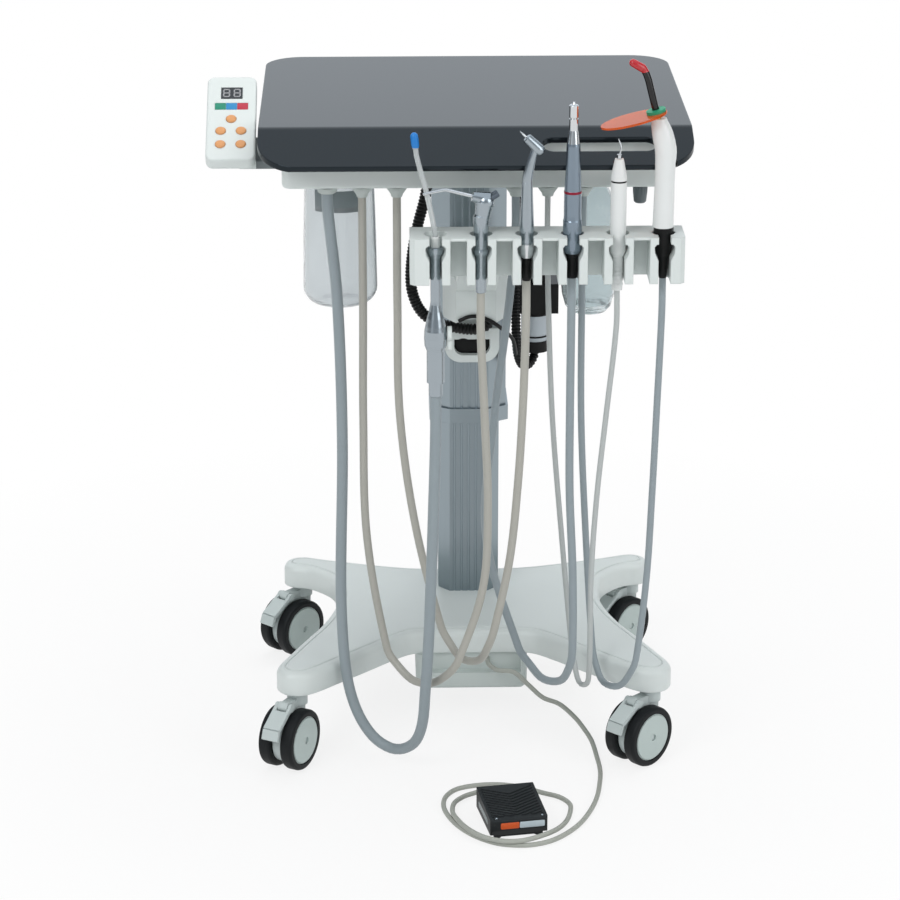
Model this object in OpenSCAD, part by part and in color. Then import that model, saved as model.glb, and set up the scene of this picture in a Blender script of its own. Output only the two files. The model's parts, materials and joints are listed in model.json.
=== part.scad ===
// Portable dental unit: a cart base on four twin-wheel casters, a lifting column, an instrument
// tray with six hanging handpieces and their hoses, two bottles, a control panel, a conduit-fed
// regulator and a foot pedal on its cable.
// Millimetres. X runs to the right, Y to the back, Z up; the floor is z = 0.

/* [Base] */
// Half distance between the left and right caster stems
stem_x = 214; // [213:0.5:215]
// Height of the leg tops above the rim's underside
base_h = 30; // [29:0.5:31]
// Wall of the hollow base moulding
base_wall = 4.5; // [3.5:0.5:5]
// Width of the box under the hub
box_w = 138; // [130:1:144]
// Underside of the box under the hub
box_z = 46; // [42:1:50]

/* [Casters] */
// Radius of the tyres
wheel_r = 37.5; // [37:0.5:38]
// Width of one wheel of the twin
wheel_w = 16; // [15:0.5:16.5]
// Gap between the tyres and the underside of the leg rim
rim_gap = 18; // [17:0.5:19]
// Trail of the wheel centre behind the stem
trail = 20.5; // [20:0.5:21]
// Radius of the stem pin in the base
pin_r = 5.5; // [5:0.5:6.5]
// Radius of the axle
axle_r = 4; // [3.5:0.5:4.5]

/* [Column] */
// Width of the moving upper stage
upper_w = 92; // [91:1:94]
// Wall of the moving upper stage
upper_wall = 5; // [4.5:0.25:5.5]
// Gap between the two stages
stage_gap = 3; // [2.5:0.25:3.5]
// Top of the fixed lower stage
lower_top = 660; // [640:5:670]
// Lower end of the moving stage
upper_z = 353; // [345:1:355]
// Radius of the lift screw
screw_r = 9; // [8:0.5:10]

/* [Tray and casing] */
// Half width of the glass tray
tray_x = 248; // [246:1:250]
// Top of the flat part of the glass
tray_z = 786; // [785:0.5:787]
// Thickness of the glass
glass_t = 6; // [5:0.5:8]
// Fall of the front lip
lip_deg = 20; // [18:1:22]
// Length of the front lip
lip_len = 75; // [73:1:77]
// Half width of the casing under the glass
case_x = 222; // [221:1:223]
// Underside of the casing
case_z = 715; // [714:0.5:716]
// Wall of the casing
case_wall = 3; // [2.5:0.5:4]

/* [Control panel] */
// Width of the control panel
panel_w = 57; // [56:1:58]
// Length of the control panel
panel_l = 133; // [131:1:135]
// Thickness of the control panel
panel_t = 17.5; // [16.5:0.5:18]
// Tilt of the control panel
panel_tilt = 32; // [31:1:33]
// Radius of a push button
button_r = 6; // [5.5:0.5:6.5]

/* [Holder rail] */
// Distance from holder to holder
pitch = 51.5; // [51:0.5:52]
// Width of the slot that a handpiece hangs in
slot_w = 14; // [13.5:0.25:14.5]
// Width of one holder
holder_w = 33; // [32:0.5:34]
// Underside of the rail
rail_z = 631; // [630:0.5:632]
// Top of the rail
rail_top = 685; // [684:0.5:686]

/* [Bottles and pedal] */
// Radius of the suction bottle
jar_r = 44; // [43:0.5:45]
// Radius of the water bottle
pet_r = 32; // [31:0.5:33]
// Wall of the bottles
bottle_wall = 2; // [1.5:0.25:2.5]
// Width of the foot pedal
pedal_w = 68; // [66:1:69]
// Length of the foot pedal
pedal_l = 84; // [82:1:86]
// Radius of the pedal cable
cable_r = 2.9; // [2.5:0.1:2.9]

/* [Hidden] */
$fn = 64;
fit = 0.05;           // radial running clearance of shafts in bores
slip = 0.3;           // clearance of parts that only slide past each other
floor_mid = [-30.25, -77];  // middle of the outline on the floor, before centring
stem_yf = -149;       // Y of the front stems
stem_yr = 196;        // Y of the rear stems
hub_y = -46;          // front face of the hub
col_y = 122;          // middle of the column
base_z = 2 * wheel_r + rim_gap;       // underside of the leg rim
post_z = base_z + 9;  // foot of the lower stage in its socket
lower_w = upper_w - 2 * (upper_wall + stage_gap);
col_front = col_y - upper_w / 2;
brake_at = [0, -trail - 10.5, 2 * wheel_r + 6];  // pivot of the brake lever
caster_turn = [28.7, 45, 43.5, 45];   // how far each caster has swung round
base_top = base_z + base_h;
glass_z = tray_z - glass_t;
lip_y = -132;         // bend line of the glass
tray_back = 221;
case_front = -145;
case_back = 190;
gland_y = -132;
gland_len = 12;
hang_y = -226;        // axis of the hanging handpieces
slot_x0 = -47.5;      // first slot
syringe_turn = 8;     // the syringe hangs with its nozzle just in front of the suction tip
seat_z = 658;         // foot of the seat cones in the rail
seat_rise = 2.1;      // rise of the seat cones per unit of radius
seat_gap = 0.6;       // handpieces stand this far above their seat cones
neck_r = slot_w / 2 - 0.7;
panel_x = -280;
panel_y = -150;       // front top edge of the panel
panel_z = 752;
jar_at = [-157, -50, 552];
pet_at = [137, -60, 543];
knob_at = [191, -126];
ring_z = 438.5;       // foot of the ring handle
ring_y = col_front - 19;              // front of the ring handle
reg_at = [82, 95];
pedal_at = [38.5, -330];
pedal_turn = 10;
button_at = [[-11.7, 24.8], [11.7, 24.8], [-11.7, 45.9], [11.7, 45.9], [0, 64.7]];

// Route of each hose from its gland to its handpiece, picked by hand
hose_r = [6.5, 4.75, 4.75, 4.75, 3.25, 4];
hose_route = [
  [
   [-170, -132, 708], [-170, -132, 692], [-160, -132, 581], [-156, -135, 405],
   [-159.7, -139, 223.5], [-157.5, -143, 147], [-151.9, -146, 96.9], [-140.2, -149, 58.4],
   [-122.3, -154, 30.5], [-102.4, -165, 20.6], [-86.1, -178, 25.3], [-71.7, -193, 42.1],
   [-63.5, -206, 71.8], [-60, -214, 118.4], [-56.3, -218.5, 178.5], [-53, -222, 263],
   [-50, -225, 355], [-47.5, -226, 448], [-47.5, -226, 493]],
  [
   [-130, -132, 703], [-130, -132, 663], [-130, -132, 573], [-131, -134, 429], [-128, -137, 285],
   [-105, -139, 140], [-93, -146, 122], [-74, -166, 110], [-51, -192, 118], [-32, -212, 139],
   [-21, -219, 158], [8, -221, 253], [13, -223, 356], [9, -225, 463], [4, -226, 570],
   [4, -226, 616]],
  [
   [-90, -132, 703], [-90, -132, 663], [-90, -132, 573], [-88, -135, 439], [-71, -138, 304],
   [-40, -141, 170], [-30, -147, 151], [-15, -167, 138], [5, -191, 147], [15, -211, 174],
   [21, -217, 195], [39, -220, 287], [48, -222, 384], [53, -225, 484], [55.5, -226, 585],
   [55.5, -226, 630]],
  [
   [47, -132, 703], [47, -132, 663], [40, -132, 573], [23, -135, 430], [14, -138, 285],
   [54, -141, 140], [66, -147, 123], [82, -167, 111], [102, -191, 119], [111, -211, 145],
   [114, -217, 167], [113, -220, 268], [108, -222, 374], [107, -225, 481], [107, -226, 588],
   [107, -226, 633]],
  [
   [84, -132, 703], [84, -132, 663], [86, -132, 573], [92, -136, 432], [104, -139, 289],
   [118, -143, 142], [121, -149, 123], [126, -167, 106], [134, -191, 115], [135, -209, 145],
   [135, -215, 168], [135, -218, 269], [140, -222, 369], [149, -225, 470], [158.5, -226, 573],
   [158.5, -226, 618]],
  [
   [125, -132, 703], [125, -132, 663], [125, -132, 573], [126, -136, 432], [133, -139, 289],
   [143, -143, 142], [147, -149, 122], [155, -167, 106], [172, -191, 111], [184, -209, 136],
   [190, -215, 157], [200, -218, 261], [204, -222, 368], [207, -225, 477], [210, -226, 587],
   [210, -226, 632]]
];
cable_route = [
  [20, -40, 84], [21, -58, 83], [31, -70, 80], [51, -74, 79], [71, -74, 60], [88, -72, 43],
  [108, -76, 36], [126, -88, 24], [137, -106, 16], [145, -128, 10], [149, -155, 4], [151, -197, 3],
  [148, -234, 3], [142, -272, 3], [132, -307, 3], [118, -340, 3], [102, -364, 3], [83, -383, 3],
  [61, -393, 3], [40, -394, 3], [18, -388, 3], [-4, -371, 3], [-22, -347, 3], [-34, -320, 3],
  [-40, -292, 3], [-37, -266, 3], [-24, -246, 3], [-1, -236, 3], [27, -234, 3], [54, -242, 3],
  [79, -258, 3], [98, -270, 3], [109, -289, 3], [108, -311, 3], [102, -336, 4], [91, -359, 6],
  [73, -381, 9], [49, -394, 9], [26, -395, 9], [4, -384, 9], [-13, -364, 9], [-24, -341, 9],
  [-30, -315, 7], [-27, -286, 5], [-15, -269, 5], [-2, -262, 6], [12, -257, 8], [23, -262, 9],
  [28, -271, 9], [30.1, -282.2, 9]
];
// Routes of the two ribbed conduits and of the thin lead beside them
conduit_1 = [[-50, 30, case_z], [-50, 30, 700], [-54, 30, 662], [-64, 32, 621], [-71, 36, 580],
  [-72, 40, 544], [-66, 43, 520], [-55, 46, 503], [-40, 46, 494], [-21, 46, 488], [-2, 46, 485],
  [13, 46, 486], [23, 46, 493], [27, 46, 505], [27, 46, 520]];
conduit_2 = [[57, 60, case_z], [57, 60, 680], [57, 60, 630], [57, 60, 580], [57, 60, 530],
  [57, 60, 485], [59, 63, 452], [65, 73, 431], [74, 86, 426], [81, 94, 434], [82, 95, 447]];
lead = [[-15, 5.5, 508], [-7, 5.5, 512], [0, 5.5, 514], [8, 5.5, 514], [15, 5.5, 512],
  [24, 5.5, 508], [32, 7.5, 502], [39, 15, 494], [46, 23, 486], [52, 32, 476], [55, 42, 464],
  [57, 54, 450]];

// ---------------------------------------------------------------- shared shapes

function unit(v) = v / norm(v);
function slot_x(i) = slot_x0 + pitch * i;
function seat_at(r) = seat_z + (r - slot_w / 2) * seat_rise + seat_gap;
function stem_at(i) = [(i % 2 == 0 ? -1 : 1) * stem_x, i < 2 ? stem_yf : stem_yr, 0];

// Points of an arc about c
function arc(c, r, a0, a1, n) =
  [for (i = [0:n]) let (a = a0 + (a1 - a0) * i / n) [c[0] + r * cos(a), c[1] + r * sin(a)]];

// Outline of a rounded rectangle, counter-clockwise
function round_ring(w, d, r, n = 5) = concat(
  arc([w / 2 - r, d / 2 - r], r, 0, 90, n), arc([r - w / 2, d / 2 - r], r, 90, 180, n),
  arc([r - w / 2, r - d / 2], r, 180, 270, n), arc([w / 2 - r, r - d / 2], r, 270, 360, n));

function lift_ring(ring, z) = [for (p = ring) [p[0], p[1], z]];

// Heights and insets of a wall from z0 to z1 with a rounded foot and a rounded top
function edge_steps(z0, z1, foot, top, n = 3) = concat(
  [for (i = [0:n]) let (a = 90 * i / n) [z0 + foot * (1 - cos(a)), foot * (1 - sin(a))]],
  [for (i = [0:n]) let (a = 90 * i / n) [z1 - top * (1 - sin(a)), top * (1 - cos(a))]]);

// One point of a smooth curve through p1 and p2
function bend(p0, p1, p2, p3, t) = 0.5 * (2 * p1 + (p2 - p0) * t
  + (2 * p0 - 5 * p1 + 4 * p2 - p3) * t * t + (3 * p1 - p0 - 3 * p2 + p3) * t * t * t);
function smooth(p, n) = let (m = len(p)) concat(
  [for (i = [0:m - 2], k = [0:n - 1])
    bend(p[max(i - 1, 0)], p[i], p[i + 1], p[min(i + 2, m - 1)], k / n)], [p[m - 1]]);
function smooth_loop(p, n) = let (m = len(p))
  [for (i = [0:m - 1], k = [0:n - 1])
    bend(p[(i + m - 1) % m], p[i], p[(i + 1) % m], p[(i + 2) % m], k / n)];

// The same loop moved inwards
function inset(p, d) = let (m = len(p))
  [for (i = [0:m - 1]) let (t = unit(p[(i + 1) % m] - p[(i + m - 1) % m])) p[i] + d * [-t[1], t[0]]];

// Skin over rings of equal length; the ends are capped, or joined to each other when ends is false
module loft(rings, ends = true) {
  n = len(rings[0]);
  m = len(rings);
  last = ends ? m - 2 : m - 1;
  sides = [for (j = [0:last], i = [0:n - 1])
    let (k = (i + 1) % n, up = (j + 1) % m)
    each [[j * n + i, up * n + i, up * n + k], [j * n + i, up * n + k, j * n + k]]];
  caps = [[for (i = [0:n - 1]) i], [for (i = [n - 1:-1:0]) (m - 1) * n + i]];
  polyhedron([for (r = rings) each r], ends ? concat(caps, sides) : sides);
}

// Round tube along a path; spin names the direction that the path never runs along
function ring_on(path, i, r, sides, spin) =
  let (m = len(path), a = path[max(i - 1, 0)], b = path[min(i + 1, m - 1)], t = unit(b - a),
    u = unit(cross(t, spin)), v = cross(t, u))
  [for (k = [0:sides - 1]) path[i] + r * (cos(360 * k / sides) * u + sin(360 * k / sides) * v)];
module tube(path, r, sides = 10, spin = [0, 1, 0])
  loft([for (i = [0:len(path) - 1]) ring_on(path, i, r, sides, spin)]);

// Tapering tube along a path in the XZ plane, rounded off at its far end if tip is set
module taper(path, radii, sides = 12, tip = false) {
  far = len(path) - 1;
  d = unit(path[far] - path[far - 1]);
  p = tip ? concat(path, [for (a = [30, 60, 84]) path[far] + d * radii[far] * sin(a)]) : path;
  r = tip ? concat(radii, [for (a = [30, 60, 84]) radii[far] * cos(a)]) : radii;
  loft([for (i = [0:len(p) - 1]) ring_on(p, i, r[i], sides, [0, 1, 0])]);
}

// Length run through at each point of a path, and the point at a given length
function run_to(p) = [for (i = 0, s = 0; i < len(p);
  s = s + (i < len(p) - 1 ? norm(p[i + 1] - p[i]) : 0), i = i + 1) s];
function point_at(p, run, s) =
  [for (c = [0:2]) lookup(s, [for (i = [0:len(p) - 1]) [run[i], p[i][c]]])];

// Ribbed conduit with its bore, as one skin
module ribbed(route, r, rib_pitch) {
  fine = smooth(route, 6);
  run = run_to(fine);
  long = run[len(run) - 1];
  ribs = floor(long / rib_pitch);
  out = [for (i = [0:2 * ribs]) point_at(fine, run, long * i / (2 * ribs))];
  bore = [for (i = [0:14]) point_at(fine, run, long * (14 - i) / 14)];
  loft(concat(
    [for (i = [0:2 * ribs]) ring_on(out, i, i % 2 == 0 ? r - 1.4 : r, 8, [0.4, 1, 0])],
    [for (i = [0:14]) ring_on_back(bore, i, r - 2.6)]), ends = false);
}
function ring_on_back(path, i, r) =
  let (m = len(path), a = path[max(i - 1, 0)], b = path[min(i + 1, m - 1)], t = unit(a - b),
    u = unit(cross(t, [0.4, 1, 0])), v = cross(t, u))
  [for (k = [0:7]) path[i] + r * (cos(45 * k) * u + sin(45 * k) * v)];

// Box with rounded uprights and rounded foot and top edges
module soft_box(w, d, z0, z1, r, foot, top)
  loft([for (s = edge_steps(z0, z1, foot, top))
    lift_ring(round_ring(w - 2 * s[1], d - 2 * s[1], max(r - s[1], 0.2)), s[0])]);

// Hollow box, open at the top
module soft_tub(w, d, z0, z1, r, foot, wall) {
  outer = [for (s = edge_steps(z0, z1, foot, 0)) if (s[0] < z1) s];
  loft(concat(
    [for (s = outer) lift_ring(round_ring(w - 2 * s[1], d - 2 * s[1], r - s[1]), s[0])],
    [lift_ring(round_ring(w, d, r), z1),
     lift_ring(round_ring(w - 2 * wall, d - 2 * wall, r - wall), z1),
     lift_ring(round_ring(w - 2 * wall, d - 2 * wall, r - wall), z0 + wall)]));
}

// Turned piece from its profile, radius against height, foot first
module turned(p)
  rotate_extrude() polygon(concat([[0, p[0][1]]], p, [[0, p[len(p) - 1][1]]]));

// Straight rod or cone from a to b
module rod(a, b, r1, r2) {
  d = b - a;
  translate(a)
    rotate([0, acos(d[2] / norm(d)), atan2(d[1], d[0])])
      cylinder(h = norm(d), r1 = r1, r2 = r2);
}
module bar(a, b, r) {
  rod(a, b, r, r);
  translate(b) sphere(r);
}

module stand() translate([-floor_mid[0], -floor_mid[1], 0]) children();
module hang_turned(i, a) hang(i) rotate([0, 0, a]) children();
module hang(i) stand() translate([slot_x(i), hang_y, 0]) children();
module on_panel() stand() translate([panel_x, panel_y, panel_z]) rotate([panel_tilt, 0, 0]) children();
module at_caster(i) stand() translate(stem_at(i)) rotate([0, 0, -caster_turn[i]]) children();
module at_pedal() stand() translate(pedal_at) rotate([0, 0, pedal_turn]) children();

// ---------------------------------------------------------------- base

// Right half of the leg outline, from the hub's front to its back
leg_half = [
  [0, hub_y], [45, hub_y], [74, -50], [98, -70], [128, -101], [160, -133],
  [188, -161], [207, -172.3], [226, -170], [237, -155], [237, -139], [225, -108],
  [205, -60], [187, -18], [174, 24], [167, 62], [167.5, 98], [173, 127],
  [187, 149], [206, 166], [226, 172], [236.5, 184], [235, 201], [224, 211],
  [208, 212.5], [188, 205], [162, 196], [124, 184], [84, 173.5], [50, 169], [0, 169]];
leg_loop = smooth_loop(concat(leg_half,
  [for (i = [len(leg_half) - 2:-1:1]) [-leg_half[i][0], leg_half[i][1]]]), 2);

// Profile of a column stage: width across flats, with bevelled corners
function stage_outline(w, slim = 0) = let (h = w / 2 - slim, f = 24 - slim * 0.4, b = h - 16 + slim * 0.2)
  [[-f, -h], [f, -h], [h, -b], [h, b], [f, h], [-f, h], [-h, b], [-h, -b]];

module stage(w, wall, z0, z1)
  translate([0, col_y, z0])
    linear_extrude(z1 - z0)
      difference() {
        polygon(stage_outline(w));
        polygon(stage_outline(w, wall));
        for (x = [-18, -9, 0, 9, 18], s = [-1, 1]) {
          translate([x, s * (w / 2 + 0.6)]) circle(1.6);
          translate([s * (w / 2 + 0.6), x * (w / 2 - 19) / 24]) circle(1.6);
        }
      }

module base_moulding() color([0.93, 0.93, 0.92]) stand() difference() {
  union() {
    // Hollow legs and hub in one skin, with the line that runs round their tops
    loft([for (s = [
      [base_top - 6, base_wall], [base_z, base_wall], [base_z, 1], [base_z + 1.2, 0],
      [base_top - 10, 0], [base_top - 5, 1.4], [base_top - 2, 4.6], [base_top - 0.8, 9],
      [base_top - 0.7, 10], [base_top - 1.7, 10.5], [base_top - 1.7, 11.5],
      [base_top - 0.4, 12.1], [base_top, 15]])
      lift_ring(inset(leg_loop, s[1]), s[0])]);
    // Bosses for the caster stems
    for (i = [0:3]) translate(stem_at(i) + [0, 0, base_z]) cylinder(r = 15, h = base_h - 4);
    // Socket of the column
    translate([-lower_w / 2 - 6, col_y - lower_w / 2 - 6, base_z])
      cube([lower_w + 12, lower_w + 12, base_h]);
  }
  for (i = [0:3]) translate(stem_at(i) + [0, 0, base_z - 1]) cylinder(r = pin_r, h = 21);
  translate([0, col_y, post_z]) linear_extrude(60) polygon(stage_outline(lower_w, -0.1));
}

module base_box() color([0.86, 0.87, 0.87]) stand() {
  d = 192;
  difference() {
    union() {
      translate([0, hub_y - 6 + d / 2, 0]) soft_tub(box_w, d, box_z, base_z, 10, 8, 3);
      // Walls of the recess at the front
      translate([3.5 - box_w / 2, hub_y - 3, base_z - 28]) cube([box_w - 7, 18, 28]);
    }
    translate([8 - box_w / 2, hub_y - 10, base_z - 24]) cube([box_w - 16, 16, 30]);
  }
  // Gland of the pedal cable in the recess
  translate([cable_route[0][0], cable_route[0][1] + 6.5, cable_route[0][2]])
    rotate([90, 0, 0]) cylinder(r = 5, h = 6.5);
}

module column_lower() color([0.75, 0.77, 0.79]) stand() stage(lower_w, 4, post_z, lower_top);

module lift_spindle() color([0.45, 0.46, 0.48]) stand() translate([0, col_y, 0]) {
  // Motor block on the socket's floor
  translate([0, 0, post_z]) cylinder(r = 33.5, h = 12);
  translate([0, 0, post_z]) cylinder(r = 26, h = 128);
  translate([0, 0, post_z]) cylinder(r = screw_r, h = 600 - post_z);
}

// ---------------------------------------------------------------- casters

module caster_body(i) color([0.92, 0.92, 0.91]) at_caster(i) difference() {
  union() {
    translate([0, 0, base_z - 1]) cylinder(r = pin_r - fit, h = 20);
    translate([0, 0, 2 * wheel_r]) cylinder(r = 12.5, h = rim_gap - 0.1);
    // Housing between the wheels
    translate([-6.4, -trail - 13.5, wheel_r + 14.5]) cube([12.8, trail + 21.5, wheel_r - 13.5]);
    translate([-6.4, -trail, wheel_r]) rotate([0, 90, 0]) cylinder(r = wheel_r - 7.5, h = 12.8);
    translate(brake_at - [6.4, 0, 0]) rotate([0, 90, 0]) cylinder(r = 6, h = 12.8);
    translate(brake_at - [6.4, 0, 11]) cube([12.8, trail + 5.5, 15]);
    // Axle
    translate([-22, -trail, wheel_r]) rotate([0, 90, 0]) cylinder(r = axle_r, h = 44);
  }
  translate(brake_at - [8, 0, 0]) rotate([0, 90, 0]) cylinder(r = 2.5, h = 16);
}

module wheel_pair(i) color([0.16, 0.17, 0.18]) at_caster(i)
  for (s = [0, 1]) mirror([s, 0, 0])
    translate([7, -trail, wheel_r]) rotate([0, 90, 0]) rotate_extrude($fn = 96)
      polygon([
        [axle_r + fit, 0], [wheel_r - 3, 0], [wheel_r - 0.9, 0.9], [wheel_r, 3],
        [wheel_r, wheel_w - 3.5], [wheel_r - 0.9, wheel_w - 1.2], [wheel_r - 3, wheel_w - 0.2],
        [wheel_r - 7.5, wheel_w], [wheel_r - 8, wheel_w - 1.4], [wheel_r - 9, wheel_w - 1.4],
        [wheel_r - 9.6, wheel_w], [18, wheel_w + 1], [9, wheel_w + 1.2], [axle_r + fit, wheel_w + 1.2]]);

module brake_lever(i) color([0.9, 0.9, 0.89]) at_caster(i) translate(brake_at) {
  rotate([0, 90, 0]) translate([0, 0, -11]) cylinder(r = 2.5 - fit, h = 22);
  for (s = [-1, 1]) translate([s * 8.9 - 2, 0, 0]) rotate([0, 90, 0]) cylinder(r = 5, h = 4);
  rotate([33, 0, 0]) {
    for (s = [-1, 1]) translate([s * 8.9 - 2, -34, -1]) cube([4, 34, 5]);
    translate([-11, -36, 0]) cube([22, 27, 4]);
    // Lip that bends down over the tyre
    translate([0, -36, 2]) rotate([37, 0, 0]) {
      translate([-11, -11, -2]) cube([22, 11, 4]);
      translate([-11, -11, 0]) rotate([0, 90, 0]) cylinder(r = 2, h = 22);
    }
    translate([-11, -36, 2]) rotate([0, 90, 0]) cylinder(r = 2, h = 22);
  }
}

// ---------------------------------------------------------------- lifting part

module column_upper() color([0.75, 0.77, 0.79]) stand() {
  stage(upper_w, upper_wall, upper_z + 2, case_z);
  // Guide collar at the foot, running on the lower stage
  translate([0, col_y, upper_z]) linear_extrude(19) difference() {
    polygon(stage_outline(upper_w + 6));
    polygon(stage_outline(lower_w, -slip));
  }
  // Head plate and the nut tube that rides on the screw
  translate([0, col_y, case_z - 6]) linear_extrude(6) polygon(stage_outline(upper_w, 3));
  translate([0, col_y, 300]) difference() {
    cylinder(r = 16, h = case_z - 303);
    translate([0, 0, -1]) cylinder(r = screw_r + 0.1, h = 340);
  }
}

module casing() color([0.93, 0.93, 0.92]) stand() difference() {
  translate([0, (case_front + case_back) / 2, 0])
    soft_tub(2 * case_x, case_back - case_front, case_z, glass_z, 12, 4, case_wall);
  // The rim follows the underside of the glass
  rotate([90, 0, 90]) translate([0, 0, -case_x - 1]) linear_extrude(2 * case_x + 2)
    polygon(concat([[lip_y, glass_z + 1]], bend_arc(20),
      [lip_end(20), [lip_end(20)[0], glass_z + 1]]));
  // Hole for the flow knob's spindle
  translate([knob_at[0], knob_at[1], case_z - 1]) cylinder(r = 3 + fit, h = 10);
}

// Side profile of the glass: flat sheet, bend and falling lip
function bend_arc(r) = [for (k = [0 : 8]) [lip_y, glass_z - 20]
  + r * [-sin(lip_deg * k / 8), cos(lip_deg * k / 8)]];
function lip_end(r) = [lip_y, glass_z - 20] + r * [-sin(lip_deg), cos(lip_deg)]
  - lip_len * [cos(lip_deg), sin(lip_deg)];
glass_side = concat([[tray_back, glass_z + glass_t]], bend_arc(20 + glass_t),
  [lip_end(20 + glass_t), lip_end(20)], [for (k = [8 : -1 : 0]) bend_arc(20)[k]],
  [[tray_back, glass_z]]);
module tray_glass() color([0.12, 0.13, 0.15]) stand() difference() {
  intersection() {
    rotate([90, 0, 90]) translate([0, 0, -tray_x]) linear_extrude(2 * tray_x)
      polygon(glass_side);
    translate([0, 0, 700]) linear_extrude(120) tray_plan();
  }
  // Hand slot in the lip
  translate([75, -184, 700]) linear_extrude(120) hand_slot();
}
module tray_plan() {
  front = lip_y - lip_len * cos(lip_deg) - 8;
  r = 46;
  translate([-tray_x, front + r]) square([2 * tray_x, tray_back - front - 2 * r]);
  translate([r - tray_x, front]) square([2 * (tray_x - r), tray_back - front]);
  for (x = [r - tray_x, tray_x - r], y = [front + r, tray_back - r]) translate([x, y]) circle(r);
}
module hand_slot() {
  translate([13, 0]) square([104, 26]);
  for (x = [13, 117]) translate([x, 13]) circle(13);
}

module panel_body() color([0.94, 0.94, 0.93]) {
  on_panel() difference() {
    translate([0, panel_l / 2, 0]) soft_box(panel_w, panel_l, -panel_t, 0, 9, 5, 2.2);
    for (p = button_at) translate([p[0], p[1], -4]) cylinder(r = button_r + 0.15, h = 10);
    translate([-12.4, 96.9, -1.2]) cube([24.8, 18.2, 4]);
    translate([-19.4, 79.5, -0.5]) cube([38.8, 11, 4]);
  }
  // Grey bracket from the casing's side to the panel's underside
  stand() difference() {
    translate([-270, -130, 736]) cube([270 - case_x, 32, 34]);
    translate([panel_x, panel_y, panel_z]) rotate([panel_tilt, 0, 0])
      translate([-40, -20, -panel_t + 1]) cube([200, 180, 60]);
    translate([-232, -131, 750]) cube([20, 34, 30]);
  }
}

module panel_display() color([0.1, 0.11, 0.13]) on_panel()
  translate([-12.25, 97.05, -1.2]) cube([24.5, 17.9, 1.5]);

module panel_button(i) color([0.85, 0.55, 0.3]) on_panel()
  translate([button_at[i][0], button_at[i][1], -2.8])
    turned([[button_r - 0.6, 0], [button_r, 0.6], [button_r, 3.4], [button_r - 0.9, 4.3],
      [button_r - 2.6, 4.8], [1, 5]]);

module hose_glands() color([0.72, 0.73, 0.73]) stand() {
  for (i = [1:5]) translate([hose_route[i][0][0], gland_y, case_z - gland_len])
    turned([[6, 0], [6.4, 0.6], [7.2, 3.5], [10.8, 8.5], [11.5, 9.5], [11.5, gland_len]]);
  translate([hose_route[0][0][0], gland_y, case_z - 7])
    turned([[9, 0], [11, 1.5], [11, 5], [12, 5], [12, 7]]);
}

module suction_bottle() color([0.78, 0.8, 0.82, 0.6]) stand() translate(jar_at) {
  h = case_z - jar_at[2];
  rotate_extrude() polygon(concat(
    [[0, 4]], arc([jar_r - 20, 20], 20, -82, 0, 7),
    [[jar_r - 1.2, 90], [jar_r - 3, h - 16], [jar_r - 3, h], [jar_r - 3 - bottle_wall, h],
     [jar_r - 3 - bottle_wall, h - 16], [jar_r - 1.2 - bottle_wall, 90]],
    arc([jar_r - 20, 20], 20 - bottle_wall, 0, -80, 7), [[0, 4 + bottle_wall]]));
}

module water_bottle() color([0.78, 0.84, 0.88, 0.6]) stand() translate(pet_at) {
  h = case_z - pet_at[2];
  difference() {
    rotate_extrude() polygon([
      [0, 6], [10, 5], [18, 1], [22, 0], [27, 6], [pet_r - 1, 20], [pet_r, 30],
      [pet_r, h - 72], [pet_r - 2, h - 68], [pet_r - 2, h - 40], [pet_r - 4, h - 34],
      [20, h - 18], [14, h - 12], [14, h], [12.5, h], [12.5, h - 13],
      [18.5, h - 20], [pet_r - 6, h - 35.5], [pet_r - 4, h - 41], [pet_r - 4, h - 67],
      [pet_r - 2, h - 71], [pet_r - 2, 30], [pet_r - 3, 21], [26, 11], [22, 8], [0, 10]]);
    // Hollows between the five feet
    for (a = [0:72:288]) rotate(a) translate([30, 0, -3]) rotate([0, 62, 0])
      cylinder(r = 4.5, h = 40, center = true);
  }
  // Screw cap that holds the bottle to the casing
  difference() {
    translate([0, 0, h - 15]) cylinder(r = 17.5, h = 15);
    translate([0, 0, h - 16]) cylinder(r = 14.2, h = 17);
  }
}

module flow_knob() color([0.22, 0.23, 0.24]) stand() translate([knob_at[0], knob_at[1], 0]) {
  difference() {
    translate([0, 0, case_z - 22.3]) turned([[5.8, 0], [7.2, 1.5], [8.4, 13], [8.6, 19], [7.6, 22]]);
    for (a = [0:30:330]) rotate(a) translate([9.3, 0, case_z - 30]) cylinder(r = 1.3, h = 34);
  }
  translate([0, 0, case_z - 2]) cylinder(r = 3, h = 8);
}

module arm_bracket() color([0.92, 0.92, 0.91]) stand() difference() {
  union() {
    // Block on the column's front
    intersection() {
      translate([0, 0, 505]) linear_extrude(90)
        polygon([[-18.5, 8], [30.5, 8], [45, 34], [45, col_front], [-33, col_front], [-33, 34]]);
      rotate([90, 0, 90]) translate([0, 0, -60]) linear_extrude(140)
        polygon([[8, 505], [8, 556], [30, 590], [col_front, 590], [col_front, 505]]);
    }
    // Box arm that rises to the rail
    rotate([90, 0, 90]) translate([0, 0, -18.5]) linear_extrude(49)
      polygon([[20, 540], [20, 583], [-198, 660], [-198, 638], [-150, 622]]);
  }
  // Arch under the block, and the seats of the ring handle and of the conduit's end
  translate([6, 100, 452]) rotate([90, 0, 0]) cylinder(r = 58, h = 120);
  ring_seat();
  translate([27, 46, 500]) cylinder(r = 7.6, h = 20);
}
module ring_seat() translate([-14, ring_y, ring_z + 36]) cube([34, 10, 40]);

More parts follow.
